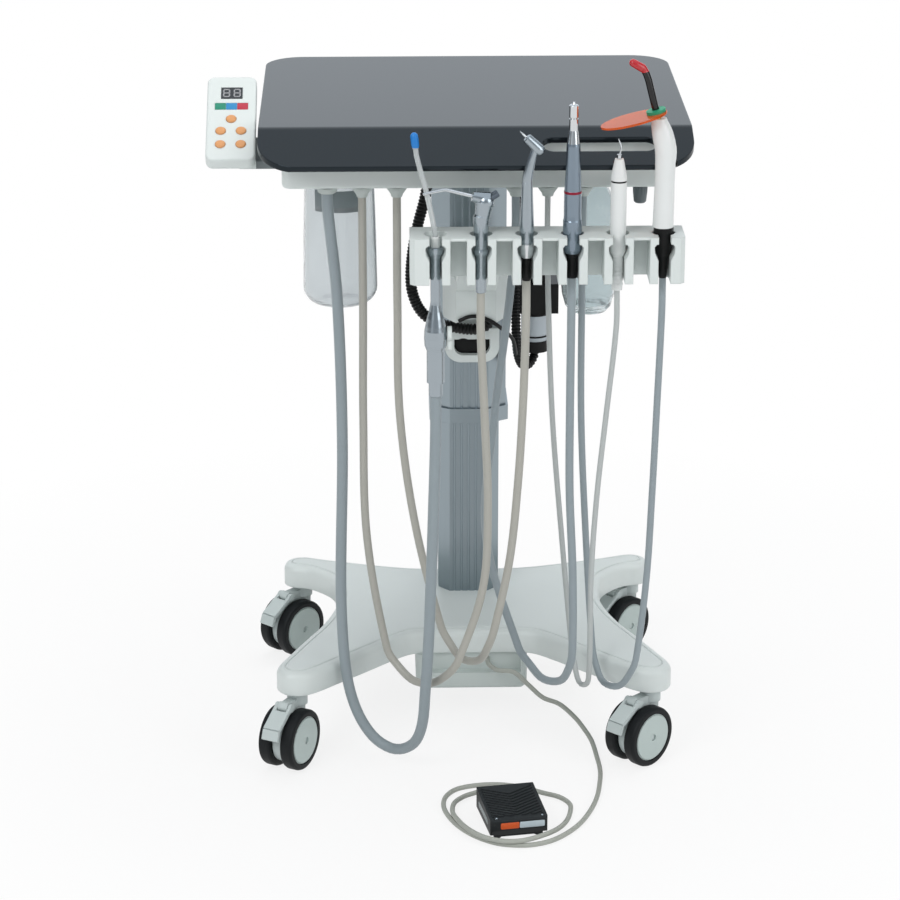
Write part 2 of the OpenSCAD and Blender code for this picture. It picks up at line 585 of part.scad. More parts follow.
module ring_handle() color([0.92, 0.92, 0.91]) stand() {
  translate([3, ring_y + 10, ring_z]) rotate([90, 0, 0]) {
    // Loop, and the pad that closes its back
    linear_extrude(10) difference() {
      d_shape(67, 44, 20);
      translate([0, 9.2]) d_shape(44, 20.5, 11);
    }
    linear_extrude(2) translate([0, 5]) d_shape(52, 30, 14);
  }
  ring_seat();
}
module d_shape(w, h, r) {
  translate([-w / 2, r]) square([w, h - r]);
  translate([r - w / 2, 0]) square([w - 2 * r, h]);
  for (x = [r - w / 2, w / 2 - r]) translate([x, r]) circle(r);
}

module holder_rail() color([0.93, 0.93, 0.92]) stand() difference() {
  back = -198;
  mid = (slot_x(0) - 29 + slot_x(5) + 23) / 2;
  long = slot_x(5) + 23 - slot_x(0) + 29;
  union() {
    // Back plate
    translate([mid - long / 2, back - 13, rail_z]) cube([long, 13, rail_top - rail_z]);
    // Holders
    for (i = [0:5]) translate([slot_x(i), 0, 0]) {
      w0 = i == 0 ? 29 : holder_w / 2;
      w1 = i == 5 ? 23 : holder_w / 2;
      translate([-w0, -249, rail_z]) cube([w0 + w1, 42, rail_top - rail_z]);
    }
    // Thin tops of the bays between them, with rounded front edges
    translate([mid - long / 2, -246, rail_top - 3.5]) cube([long, 40, 3.5]);
    translate([mid - long / 2, -246, rail_top - 1.75]) rotate([0, 90, 0])
      cylinder(r = 1.75, h = long);
  }
  // Slots and seat cones
  for (i = [0:5]) translate([slot_x(i), hang_y, 0]) {
    translate([-slot_w / 2, -30, rail_z - 1]) cube([slot_w, 30, 60]);
    translate([0, 0, rail_z - 1]) cylinder(d = slot_w, h = 60);
    translate([0, 0, seat_z])
      cylinder(r1 = slot_w / 2, r2 = slot_w / 2 + 5, h = 5 * seat_rise);
    translate([0, 0, seat_z + 5 * seat_rise - 0.01])
      cylinder(r1 = slot_w / 2 + 5, r2 = slot_w / 2 + 6, h = 20);
    // Mouth of the cone in the holder's front
    translate([0, -30, 0]) rotate([-90, 0, 0]) translate([0, -rail_top - 1, 0]) linear_extrude(30)
      polygon([[-slot_w / 2, rail_top + 1 - seat_z], [slot_w / 2, rail_top + 1 - seat_z],
        [slot_w / 2 + 4, rail_top + 1 - seat_z - 8.4], [slot_w / 2 + 4.6, 12],
        [slot_w / 2 + 2, 9], [-slot_w / 2 - 2, 9], [-slot_w / 2 - 4.6, 12],
        [-slot_w / 2 - 4, rail_top + 1 - seat_z - 8.4]]);
  }
  // Rounded front edges of the ends
  for (x = [mid - long / 2, mid + long / 2]) translate([x, -249, rail_z - 1])
    rotate(45) cube([7, 7, 130], center = true);
}

module ribbed_conduit() color([0.12, 0.12, 0.13]) stand() {
  ribbed(conduit_1, 7, 4.4);
  ribbed(conduit_2, 6, 4.4);
  tube(lead, 2.4, 8);
}

module filter_regulator() color([0.1, 0.1, 0.11]) stand() {
  translate([reg_at[0], reg_at[1], 0]) {
    difference() {
      union() {
        // Head with its ports and the bracket to the column's side
        translate([-20, -20, 495]) cube([48, 40, 38]);
        translate([upper_w / 2 - reg_at[0], -12, 503]) cube([reg_at[0] - 16 - upper_w / 2, 30, 24]);
        translate([4, 0, 533]) cylinder(r = 13, h = 10);
        // Base of the bowl
        translate([0, 0, 443]) cylinder(r = 18, h = 14);
      }
      translate([0, 0, 442]) cylinder(r = 6.1, h = 6);
    }
    // Bowl
    translate([0, 0, 457]) cylinder(r = 17, h = 38);
    for (z = [462, 490]) translate([0, 0, z]) cylinder(r = 17.8, h = 2);
  }
}

// ---------------------------------------------------------------- handpieces

module suction_handpiece() color([0.75, 0.77, 0.79]) hang(0) {
  difference() {
    turned([[8, 493], [8, 508.5], [10.2, 509], [10.25, 547], [12.6, 553], [13.2, 562], [12.8, 571],
      [11.7, 577], [9.8, 586], [7.6, 594], [6.1, 602], [5.7, 606], [5.7, 655], [neck_r, 656.4],
      [neck_r, seat_at(neck_r)], [9, seat_at(9)], [9, 668.5], [8, 669.5], [5.2, 669.5],
      [4.9, 681], [4.4, 682]]);
    translate([0, 0, 660]) cylinder(r = 3.05, h = 30);
    // Bore of the valve spindle
    translate([3, 0, 567]) rotate([0, 90, 0]) cylinder(r = 3 + fit, h = 20);
  }
}
module suction_lever() color([0.92, 0.92, 0.91]) hang(0) translate([0, 0, 567]) {
  rotate([0, 90, 0]) translate([0, 0, 5]) cylinder(r = 3, h = 9);
  rotate([0, 90, 0]) translate([0, 0, 13.6]) cylinder(r = 8.5, h = 5);
  translate([13.6, -3, -17]) cube([5, 6, 17]);
  translate([13.6, 0, -17]) rotate([0, 90, 0]) cylinder(r = 3, h = 5);
}
module suction_tip() color([0.85, 0.88, 0.9, 0.7]) hang(0) {
  tube([[0, 0, 662], [0, 0, 684], [-3.5, 0, 703], [-6.5, 0, 717], [-11, 0, 738], [-17, 0, 759],
    [-21, 0, 776], [-23.5, 0, 798]], 3, 12);
  // Cap at the tip
  taper([[-21.9, 0, 784], [-22.3, 0, 788], [-23.5, 0, 798]], [3.6, 4.5, 4.4], 12, true);
}

module syringe_body() color([0.78, 0.8, 0.82]) hang_turned(1, syringe_turn) {
  difference() {
    union() {
      turned([[5.6, 616], [6, 617], [6.25, 652], [neck_r, 656], [neck_r, seat_at(neck_r)],
        [8.6, seat_at(8.6)], [8.6, 665], [7.3, 668], [8.2, 684], [9, 698], [9, 706], [6, 709]]);
      // Tilted head
      rod([1, 0, 700], [4, 0, 722], 8, 10.5);
      translate([5, 0, 722]) sphere(10.5);
      rod([8, 0, 724], [-10, 0, 729], 9.4, 5.6);
    }
    // Socket of the nozzle
    rod([0, 0, 726.2], [-13, 0, 729.9], 2.35, 2.35);
    for (s = [-1, 1]) translate([10, s * 5, 726]) rotate([0, 60, 0]) cylinder(r = 2.9, h = 12);
  }
}
module syringe_nozzle() color([0.8, 0.82, 0.84]) hang_turned(1, syringe_turn) {
  taper([[-2, 0, 726.8], [-22, 0, 732.5], [-37, 0, 736.8], [-40, 0, 737.5], [-43, 0, 737.4],
    [-66, 0, 733.5]], [2.3, 2.3, 2.05, 2, 1.95, 1.7]);
}
module syringe_button(s) color([0.25, 0.4, 0.65]) hang_turned(1, syringe_turn)
  translate([10, s * 5, 726]) rotate([0, 60, 0]) translate([0, 0, 1.2]) turned([[2.75, 0], [2.75, 8.5],
    [2.2, 9.3], [1, 9.7]]);

// The head of the high-speed handpiece sits across its neck
module at_head() hang(2) translate([-1.1, 0, 795.7]) rotate([0, 134.2, 0]) children();
module highspeed_handpiece() color([0.8, 0.82, 0.84]) difference() {
  union() {
    hang(2) turned([[5, 630], [5.5, 631], [5.5, 655.5], [neck_r, 656], [neck_r, seat_at(neck_r)],
      [8, seat_at(8)], [8, 673], [7.2, 673.6], [7.2, 674.4], [8, 675], [8.2, 690], [7.4, 712],
      [6.6, 730], [6.3, 744]]);
    hang(2) taper([[0, 0, 740], [0.3, 0, 748], [1.6, 0, 757], [4, 0, 767], [8.4, 0, 782]],
      [6.1, 6.1, 5.8, 5.3, 4.4], 20);
    at_head() turned([[4.4, 0], [5.5, 1], [6.2, 12], [6.3, 20], [5.8, 22.6], [4.6, 24.6], [2.4, 25.6]]);
  }
  at_head() translate([0, 0, -2]) cylinder(r = 0.8 + fit, h = 14);
}
module highspeed_bur() color([0.82, 0.83, 0.85]) at_head() {
  translate([0, 0, -6]) cylinder(r = 0.8, h = 17.8);
  translate([0, 0, -6]) cylinder(r = 1.25, h = 5.4);
  translate([0, 0, -10]) cylinder(r1 = 0.5, r2 = 0.9, h = 4);
}

module lowspeed_handpiece() color([0.72, 0.74, 0.77]) hang(3) {
  turned([[6, 633], [6.2, 634], [neck_r, 656], [neck_r, seat_at(neck_r)],
    [10.75, seat_at(10.75)], [10.75, 700], [10.2, 701], [9.8, 706], [9.8, 731.5], [10.1, 732],
    [10.1, 734], [9.6, 734.6], [8.6, 760], [7.9, 786], [7.5, 789], [5.4, 804], [5.2, 817],
    [4.2, 817.6], [4.2, 818.4], [5.5, 819], [5.5, 832], [4.6, 833], [2.2, 833.4], [1.2, 836]]);
}

module scaler_body() color([0.94, 0.94, 0.93]) hang(4) difference() {
  union() {
    turned([[5.6, 618], [6, 619], [neck_r, 656], [neck_r, seat_at(neck_r)], [9, seat_at(9)],
      [9.1, 700], [9.1, 744.2], [8.7, 744.4], [8.7, 746], [9.1, 746.4], [9, 749], [7.6, 758],
      [5.6, 768], [4.8, 771]]);
    for (z = [624:5:649]) translate([0, 0, z]) cylinder(r = 6.6, h = 2);
  }
  translate([0, 0, 762]) cylinder(r = 1.6, h = 12);
}
module scaler_tip() color([0.8, 0.82, 0.84]) hang(4) {
  translate([0, 0, 763]) cylinder(r = 1.6, h = 12);
  translate([0, 0, 771.2]) cylinder(r = 3.2, h = 4.5, $fn = 6);
  bar([0, 0, 774], [2.2, 0, 784], 1.1);
  rod([2.2, 0, 784], [-1.2, 0, 793.5], 1.1, 0.5);
}

module light_body() color([0.93, 0.93, 0.92]) hang(5) difference() {
  union() {
    // Black strain relief with its cone
    turned([[4.2, 632], [4.4, 633], [neck_r, 652], [neck_r, seat_at(neck_r)],
      [8.6, seat_at(8.6)], [10.6, 672], [11.3, 681], [11.4, 692.2]]);
    // Curved body
    loft([for (s = smooth([
      [-0.9, 692, 12, 12], [-0.7, 700, 11.8, 11.9], [-0.3, 722, 11.6, 11.7],
      [0, 742, 11.3, 11.6], [0.2, 760, 11.5, 11.8], [0.5, 778, 12.2, 12.2],
      [-0.8, 787, 12.5, 12], [-3.2, 798, 12.3, 11.4], [-5.2, 806, 11.3, 10.6],
      [-7.2, 813, 9.7, 9.4], [-8.2, 817.4, 8.7, 8.7]], 2))
      [for (k = [0:23]) [s[0] + s[2] * cos(15 * k), s[3] * sin(15 * k), s[1]]]]);
  }
  rod(guide_foot, on_guide(12), guide_r + fit, guide_r + fit);
  translate([9, 0, 765.5]) rotate([0, 90, 0]) cylinder(r = 4, h = 12);
}
// The light guide leans with the top of the body
guide_r = 4.1;
guide_foot = [-8.2, 0, 812];
guide_dir = unit([-3.1, 0, 12.2]);
function on_guide(s) = guide_foot + s * guide_dir;
module light_guide() color([0.12, 0.12, 0.13]) hang(5) {
  taper([on_guide(0), on_guide(12), on_guide(25), on_guide(40), on_guide(50), [-23.2, 0, 867.6],
    [-26.2, 0, 873], [-27.2, 0, 873.8], [-38, 0, 880]],
    [guide_r, guide_r, guide_r, guide_r, guide_r, guide_r, guide_r, 4.9, 4.6], 16, true);
  rod(on_guide(8), on_guide(9.4), 7.4, 7.4);
  rod(on_guide(11.8), on_guide(15.4), 11, 11);
}
module light_shield() color([0.9, 0.4, 0.1, 0.7]) hang(5)
  translate(on_guide(9.4)) rotate([0, -atan2(3.1, 12.2), 0]) linear_extrude(2.4) difference() {
    translate([-26, 0]) polygon([for (i = [0:59]) [38 * cos(6 * i), 26 * sin(6 * i)]]);
    circle(guide_r);
  }
module light_button() color([0.15, 0.15, 0.16]) hang(5)
  translate([9, 0, 765.5]) rotate([0, 90, 0]) translate([0, 0, 1.2])
    turned([[3.85, 0], [3.85, 2.6], [3, 3.6], [1, 3.9]]);

// ---------------------------------------------------------------- foot pedal

pivot_y = pedal_l / 2 - 8;
pivot_z = 10;
module pedal_base() color([0.13, 0.14, 0.15]) at_pedal() {
  difference() {
    union() {
      translate([-pedal_w / 2 + 5, -pedal_l / 2 + 5, 2]) cube([pedal_w - 10, pedal_l - 8, 6]);
      for (s = [-1, 1]) translate([s * 18 - 4, pivot_y, pivot_z])
        rotate([0, 90, 0]) cylinder(r = 5, h = 8);
      for (s = [-1, 1]) translate([s * 18 - 4, pivot_y - 5, 6]) cube([8, 10, 4]);
      // Gland of the cable at the back
      translate([0, pedal_l / 2 - 4, 9]) rotate([-90, 0, 0]) cylinder(r = 5, h = 10);
      translate([-8, pedal_l / 2 - 12, 4]) cube([16, 9, 9]);
      // Feet
      for (x = [-1, 1], y = [-1, 1])
        translate([x * (pedal_w / 2 - 10), y * (pedal_l / 2 - 10), 0]) cylinder(r = 4.5, h = 4);
      // Return spring's post
      translate([0, -20, 8]) cylinder(r = 4, h = 5.8);
    }
    translate([-pedal_w / 2, pivot_y, pivot_z]) rotate([0, 90, 0]) cylinder(r = 2.5, h = pedal_w);
  }
}
// Height of the plate's top along its length
function plate_top(y) = 28 + 3 * y / (pedal_l / 2);
module pedal_plate() color([0.16, 0.17, 0.18]) at_pedal() {
  // Shell of the plate: sloping top, skirts at the sides and at the front
  intersection() {
    difference() {
      rotate([90, 0, 90]) translate([0, 0, -pedal_w / 2]) linear_extrude(pedal_w)
        polygon([[-pedal_l / 2 + 2, 6], [-pedal_l / 2, 12], [-pedal_l / 2, 23.5],
          [-pedal_l / 2 + 2, plate_top(-pedal_l / 2) + 0.1], [pedal_l / 2 - 3, plate_top(pedal_l / 2 - 3)],
          [pedal_l / 2, 28], [pedal_l / 2, 16], [pedal_l / 2 - 4, 6]]);
      translate([-pedal_w / 2 + 3.5, -pedal_l / 2 + 3.5, 0]) cube([pedal_w - 7, pedal_l, 20]);
    }
    translate([0, 0, -1]) linear_extrude(60) {
      square([pedal_w - 8, pedal_l], center = true);
      square([pedal_w, pedal_l - 8], center = true);
      for (x = [-1, 1], y = [-1, 1]) translate([x * (pedal_w / 2 - 4), y * (pedal_l / 2 - 4)]) circle(4);
    }
  }
  // Pivot pin and its cheeks
  translate([-pedal_w / 2 + 1, pivot_y, pivot_z]) rotate([0, 90, 0])
    cylinder(r = 2.5 - fit, h = pedal_w - 2);
  // Chevron ribs
  intersection() {
    slope = atan2(3, pedal_l / 2);
    translate([0, 0, 28]) rotate([slope, 0, 0])
      for (s = [-1, 1], k = [-5:9]) translate([0, -38 + 6 * k, -1])
        rotate(s * 28) translate([s > 0 ? 0.4 : -44.4, 0, 0]) cube([44, 2.4, 2]);
    translate([-pedal_w / 2 + 4, -pedal_l / 2 + 9, 10]) cube([pedal_w - 8, pedal_l - 14, 40]);
  }
}
module pedal_cable() color([0.72, 0.73, 0.7]) stand() tube(cable_route, cable_r, 8, [0, 0, 1]);

module hose(i) stand() tube(hose_route[i], hose_r[i], 10);

// ---------------------------------------------------------------- nodes

base_moulding();
base_box();
column_lower();
lift_spindle();
pedal_base();
pedal_plate();
pedal_cable();
caster_body(0);  // caster_front_left
caster_body(1);  // caster_front_right
caster_body(2);  // caster_rear_left
caster_body(3);  // caster_rear_right
wheel_pair(0);  // wheels_front_left
wheel_pair(1);  // wheels_front_right
wheel_pair(2);  // wheels_rear_left
wheel_pair(3);  // wheels_rear_right
brake_lever(0);  // brake_front_left
brake_lever(1);  // brake_front_right
brake_lever(2);  // brake_rear_left
brake_lever(3);  // brake_rear_right
column_upper();
casing();
tray_glass();
panel_body();
panel_display();
panel_button(0);  // panel_button_1
panel_button(1);  // panel_button_2
panel_button(2);  // panel_button_3
panel_button(3);  // panel_button_4
panel_button(4);  // panel_button_5
hose_glands();
suction_bottle();
water_bottle();
flow_knob();
arm_bracket();
ring_handle();
holder_rail();
ribbed_conduit();
filter_regulator();
hose(0);  // hose_suction
hose(1);  // hose_syringe
hose(2);  // hose_highspeed
hose(3);  // hose_lowspeed
hose(4);  // hose_scaler
hose(5);  // hose_light
suction_handpiece();
suction_tip();
suction_lever();
syringe_body();
syringe_nozzle();
syringe_button(-1);  // syringe_button_air
syringe_button(1);  // syringe_button_water
highspeed_handpiece();
highspeed_bur();
lowspeed_handpiece();
scaler_body();
scaler_tip();
light_body();
light_guide();
light_shield();
light_button();
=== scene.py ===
"""Looks of a portable dental unit: cart base, lifting column, glass tray, handpieces, hoses, pedal."""

import json
import logging
import math
from dataclasses import dataclass
from enum import Enum
from typing import Any, Callable, Optional, Sequence

import bmesh
import bpy
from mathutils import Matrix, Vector
from mathutils.geometry import tessellate_polygon

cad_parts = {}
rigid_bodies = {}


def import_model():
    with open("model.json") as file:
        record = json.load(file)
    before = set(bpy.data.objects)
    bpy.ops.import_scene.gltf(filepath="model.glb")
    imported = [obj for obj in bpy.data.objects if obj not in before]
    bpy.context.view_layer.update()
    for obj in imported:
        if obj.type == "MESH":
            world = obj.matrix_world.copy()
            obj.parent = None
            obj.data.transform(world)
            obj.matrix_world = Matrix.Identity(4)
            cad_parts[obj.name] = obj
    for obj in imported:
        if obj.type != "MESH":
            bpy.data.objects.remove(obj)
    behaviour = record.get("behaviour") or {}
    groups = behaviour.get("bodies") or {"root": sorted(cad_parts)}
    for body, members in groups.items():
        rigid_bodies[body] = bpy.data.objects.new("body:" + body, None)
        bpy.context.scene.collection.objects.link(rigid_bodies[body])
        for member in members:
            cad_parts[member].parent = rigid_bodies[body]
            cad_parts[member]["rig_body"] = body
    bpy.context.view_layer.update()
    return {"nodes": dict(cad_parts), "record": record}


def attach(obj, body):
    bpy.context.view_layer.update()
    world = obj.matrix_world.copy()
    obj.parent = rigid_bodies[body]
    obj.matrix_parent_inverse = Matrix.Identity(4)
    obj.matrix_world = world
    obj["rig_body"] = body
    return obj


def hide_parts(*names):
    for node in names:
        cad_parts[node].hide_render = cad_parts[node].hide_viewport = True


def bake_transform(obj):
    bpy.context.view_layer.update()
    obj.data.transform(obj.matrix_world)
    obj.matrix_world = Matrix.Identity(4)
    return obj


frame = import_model()

log = logging.getLogger("dental_unit")

Pair = tuple[float, float]
Point = tuple[float, float, float]
Ring = list[Vector]
Piece, Tree, Socket = bpy.types.Object, bpy.types.NodeTree, bpy.types.NodeSocket

# The part's own millimetres start on the floor, between the legs; the frame starts under its middle.
FLOOR_MID = (-30.25, -77.0)
# Places of the four caster stems and of the row of handpieces, in the part's own millimetres.
STEMS = {"front_left": (-214, -149), "front_right": (214, -149),
         "rear_left": (-214, 196), "rear_right": (214, 196)}
HANG_Y = -226


# ------------------------------------------------------------------ plain helpers


def place(x: float, y: float, z: float) -> Vector:
    """Turn the part's own millimetres into the frame's metres."""
    return Vector(((x - FLOOR_MID[0]) / 1000, (y - FLOOR_MID[1]) / 1000, z / 1000))


def linear(hexed: str) -> tuple[float, float, float, float]:
    """Turn an sRGB hex colour into linear values.

    Args:
        hexed: Six hex digits.

    Returns:
        Linear red, green and blue, and full opacity.
    """
    raw = [int(hexed[i : i + 2], 16) / 255 for i in (0, 2, 4)]
    r, g, b = (c / 12.92 if c <= 0.04045 else ((c + 0.055) / 1.055) ** 2.4 for c in raw)
    return (r, g, b, 1.0)


def node(
    tree: Tree,
    kind: str,
    settings: Optional[dict[Any, Any]] = None,
    links: Optional[dict[Any, Socket]] = None,
) -> bpy.types.Node:
    """Add a shader node with its settings and links.

    Args:
        tree: Node tree that gets the node.
        kind: Blender's name of the node type.
        settings: Socket names or numbers with values, or the node's own attributes.
        links: Socket names or numbers with the outputs that feed them.

    Returns:
        The new node.
    """
    new = tree.nodes.new(kind)
    for key, value in (settings or {}).items():
        if isinstance(key, str) and hasattr(new, key):
            setattr(new, key, value)
    for key, value in (settings or {}).items():
        if not (isinstance(key, str) and hasattr(new, key)):
            new.inputs[key].default_value = value
    for key, source in (links or {}).items():
        tree.links.new(source, new.inputs[key])
    return new


def maths(tree: Tree, operation: str, first: Any, second: Any) -> Socket:
    """Add a math node on two outputs or numbers.

    Args:
        tree: Node tree that gets the node.
        operation: Blender's name of the operation.
        first: First operand, an output or a number.
        second: Second operand, an output or a number.

    Returns:
        The node's output.
    """
    made = node(tree, "ShaderNodeMath", {"operation": operation})
    for i, value in enumerate((first, second)):
        if isinstance(value, (int, float)):
            made.inputs[i].default_value = value
        else:
            tree.links.new(value, made.inputs[i])
    return made.outputs["Value"]


def smooth_path(points: Sequence[Sequence[float]], step: float) -> list[Vector]:
    """Run a smooth curve through points and lay points along it at even steps.

    Args:
        points: Route points in the part's own millimetres.
        step: Distance between the laid points in millimetres.

    Returns:
        Points of the curve in metres, first and last on the route's ends.
    """
    route = [Vector(p) for p in points]
    fine: list[Vector] = []
    for i in range(len(route) - 1):
        p1, p2 = route[i], route[i + 1]
        p0 = route[i - 1] if i else p1 * 2 - p2
        p3 = route[i + 2] if i + 2 < len(route) else p2 * 2 - p1
        span = (p2 - p1).length
        m1 = (p2 - p0) * (span / ((p1 - p0).length + span))
        m2 = (p3 - p1) * (span / (span + (p3 - p2).length))
        for k in range(16):
            t = k / 16
            fine.append(
                p1 * (2 * t**3 - 3 * t**2 + 1) + m1 * (t**3 - 2 * t**2 + t)
                + p2 * (3 * t**2 - 2 * t**3) + m2 * (t**3 - t**2)
            )
    fine.append(route[-1])
    run = [0.0]
    for a, b in zip(fine, fine[1:]):
        run.append(run[-1] + (b - a).length)
    count = max(2, round(run[-1] / step))
    laid: list[Vector] = []
    j = 0
    for i in range(count + 1):
        want = run[-1] * i / count
        while j < len(run) - 2 and run[j + 1] < want:
            j += 1
        t = (want - run[j]) / max(run[j + 1] - run[j], 1e-9)
        laid.append(place(*(fine[j].lerp(fine[j + 1], t))))
    return laid


def path_length(path: Sequence[Vector]) -> float:
    """Length of a run of points."""
    return sum((b - a).length for a, b in zip(path, path[1:]))


# ------------------------------------------------------------------ mesh making


class Ends(Enum):
    """How a skin over rings is closed."""

    FLAT = "one flat face on each end"
    CONCAVE = "triangles on each end, for outlines that turn inwards"
    JOINED = "last ring joined to the first"


def mesh_piece(name: str, points: Sequence[Vector], faces: Sequence[Sequence[int]],
               crease: float, outward: bool = False) -> Piece:
    """Make an object from points and faces, smooth but for its creases.

    Args:
        name: Name of the piece.
        points: Corners in metres.
        faces: Corner numbers of each face.
        crease: Edges that turn by more degrees than this stay sharp.
        outward: The faces already turn outwards.

    Returns:
        The new object, linked into the scene.
    """
    data = bpy.data.meshes.new(name)
    data.from_pydata([tuple(p) for p in points], [], [tuple(f) for f in faces])
    if not outward:
        bm = bmesh.new()
        bm.from_mesh(data)
        bmesh.ops.recalc_face_normals(bm, faces=bm.faces)
        bm.to_mesh(data)
        bm.free()
    data.polygons.foreach_set("use_smooth", [True] * len(data.polygons))
    data.set_sharp_from_angle(angle=math.radians(crease))
    data.update()
    piece = bpy.data.objects.new(name, data)
    bpy.context.scene.collection.objects.link(piece)
    return piece


def loft(name: str, rings: Sequence[Sequence[Vector]], crease: float, ends: Ends = Ends.FLAT) -> Piece:
    """Skin over rings of equal length.

    Args:
        name: Name of the piece.
        rings: Rings of points in metres.
        crease: Edges that turn by more degrees than this stay sharp.
        ends: How the first and the last ring are closed.

    Returns:
        The new object.
    """
    n, m = len(rings[0]), len(rings)
    points = [p for ring in rings for p in ring]
    faces: list[list[int]] = []
    for j in range(m if ends is Ends.JOINED else m - 1):
        up = (j + 1) % m
        for i in range(n):
            k = (i + 1) % n
            faces.append([j * n + i, up * n + i, up * n + k, j * n + k])
    for first in (0, (m - 1) * n):
        if ends is Ends.FLAT:
            faces.append(list(range(first, first + n)))
        elif ends is Ends.CONCAVE:
            faces += [[first + i for i in three] for three in tessellate_polygon([points[first : first + n]])]
    return mesh_piece(name, points, faces, crease)


def circle_on(path: Sequence[Vector], i: int, radius: float, sides: int, spin: Vector) -> Ring:
    """Ring of points about a path.

    Args:
        path: Points in metres.
        i: Number of the point that the ring goes round.
        radius: Radius in metres.
        sides: Number of points of the ring.
        spin: Direction that the path never runs along.

    Returns:
        The ring's points.
    """
    a, b = path[max(i - 1, 0)], path[min(i + 1, len(path) - 1)]
    run = (b - a).normalized()
    u = run.cross(spin).normalized()
    v = run.cross(u)
    turns = [2 * math.pi * k / sides for k in range(sides)]
    return [path[i] + (u * math.cos(a) + v * math.sin(a)) * radius for a in turns]


def tube(name: str, path: Sequence[Vector], radius: float, sides: int,
         spin: Vector = Vector((0, 1, 0))) -> Piece:
    """Round tube of one radius along a path, all in metres."""
    return loft(name, [circle_on(path, i, radius, sides, spin) for i in range(len(path))], 50)


def turned(name: str, put: Callable[[float, float, float], Vector], x: float, y: float,
           profile: Sequence[Pair], sides: int, crease: float) -> Piece:
    """Turn a profile about an upright axis.

    Args:
        name: Name of the piece.
        put: Turns local millimetres into the frame's metres.
        x: Place of the axis in millimetres.
        y: Place of the axis in millimetres.
        profile: Heights with radii in millimetres.
        sides: Number of points of a ring.
        crease: Edges that turn by more degrees than this stay sharp.

    Returns:
        The new object.
    """
    turns = [2 * math.pi * k / sides for k in range(sides)]
    rings = [[put(x + r * math.cos(a), y + r * math.sin(a), z) for a in turns] for z, r in profile]
    return loft(name, rings, crease)


def smoothed(name: str, crease: float) -> Piece:
    """Copy a lofted solid's skin with its corners joined, so that it shades as one smooth surface.

    Args:
        name: Node that the copy replaces.
        crease: Edges that turn by more degrees than this stay sharp.

    Returns:
        The new object, which stands for the node and rides on its body.
    """
    source = frame["nodes"][name]
    bm = bmesh.new()
    bm.from_mesh(source.data)
    bmesh.ops.remove_doubles(bm, verts=bm.verts, dist=2e-6)
    bmesh.ops.dissolve_degenerate(bm, edges=bm.edges, dist=1e-6)
    bm.verts.index_update()
    points = [v.co.copy() for v in bm.verts]
    faces = [[v.index for v in f.verts] for f in bm.faces]
    bm.free()
    piece = mesh_piece(name + "_skin", points, faces, crease, outward=True)
    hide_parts(name)
    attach(piece, source["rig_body"])
    return piece


def slab(name: str, outline: Sequence[Sequence[float]], low: float, high: float,
         put: Callable[[float, float, float], Vector], soft: float = 0.3) -> Piece:
    """Thin plate over an outline, with its upper edge rounded off.

    Args:
        name: Name of the piece.
        outline: Corners in millimetres, counter-clockwise.
        low: Height of its underside in millimetres.
        high: Height of its top in millimetres.
        put: Turns local millimetres into the frame's metres.
        soft: Width of the rounded edge in millimetres.

    Returns:
        The new object.
    """
    mid = Vector([sum(p[i] for p in outline) / len(outline) for i in (0, 1)])
    reach = max((Vector(p) - mid).length for p in outline)
    rings = []
    rounding = ((low, 0.0), (high - soft * 0.6, 0.0), (high - soft * 0.2, soft * 0.35), (high, soft))
    for height, pull in rounding:
        share = 1 - pull / reach
        moved = [[mid[i] + (p[i] - mid[i]) * share for i in (0, 1)] for p in outline]
        rings.append([put(*xy, height) for xy in moved])
    return loft(name, rings, 30)


def quarter(cx: float, cy: float, r: float, start: float, n: int) -> list[Pair]:
    """Points of a quarter circle from a start angle in degrees, counter-clockwise."""
    turns = [math.radians(start + 90 * k / n) for k in range(n + 1)]
    return [(cx + r * math.cos(a), cy + r * math.sin(a)) for a in turns]


def round_outline(x0: float, y0: float, x1: float, y1: float, r: float, n: int = 4) -> list[Pair]:
    """Corners of a rounded rectangle, counter-clockwise."""
    return (quarter(x1 - r, y0 + r, r, -90, n) + quarter(x1 - r, y1 - r, r, 0, n)
            + quarter(x0 + r, y1 - r, r, 90, n) + quarter(x0 + r, y0 + r, r, 180, n))


def dress(piece: Piece, finish: "Coating") -> Piece:
    """Give a piece its only material."""
    piece.data.materials.clear()
    piece.data.materials.append(finish.material())
    return piece


def frame_slot(name: str) -> str:
    """Material slot that the record gives a node."""
    return next(s["material_slot"] for s in frame["record"]["subparts"] if s["node"] == name)


def dress_node(name: str, finish: "Coating") -> None:
    """Give a carried-over node its material, on every slot of its object."""
    piece = frame["nodes"][name]
    if not piece.material_slots:
        piece.data.materials.append(finish.material())
    for slot in piece.material_slots:
        slot.material = finish.material()


# ------------------------------------------------------------------ finishes


class Coating:
    """Anything that covers a piece as its one material."""

    name: str

    def shader(self, tree: Tree) -> Socket:
        """Build the surface in a tree and return its shader output."""
        raise NotImplementedError

    def material(self) -> bpy.types.Material:
        """The material of this coating, made once."""
        made = bpy.data.materials.get(self.name)
        if not made:
            made = bpy.data.materials.new(self.name)
            made.use_nodes = True
            made.node_tree.nodes.clear()
            node(made.node_tree, "ShaderNodeOutputMaterial", {}, {"Surface": self.shader(made.node_tree)})
        return made


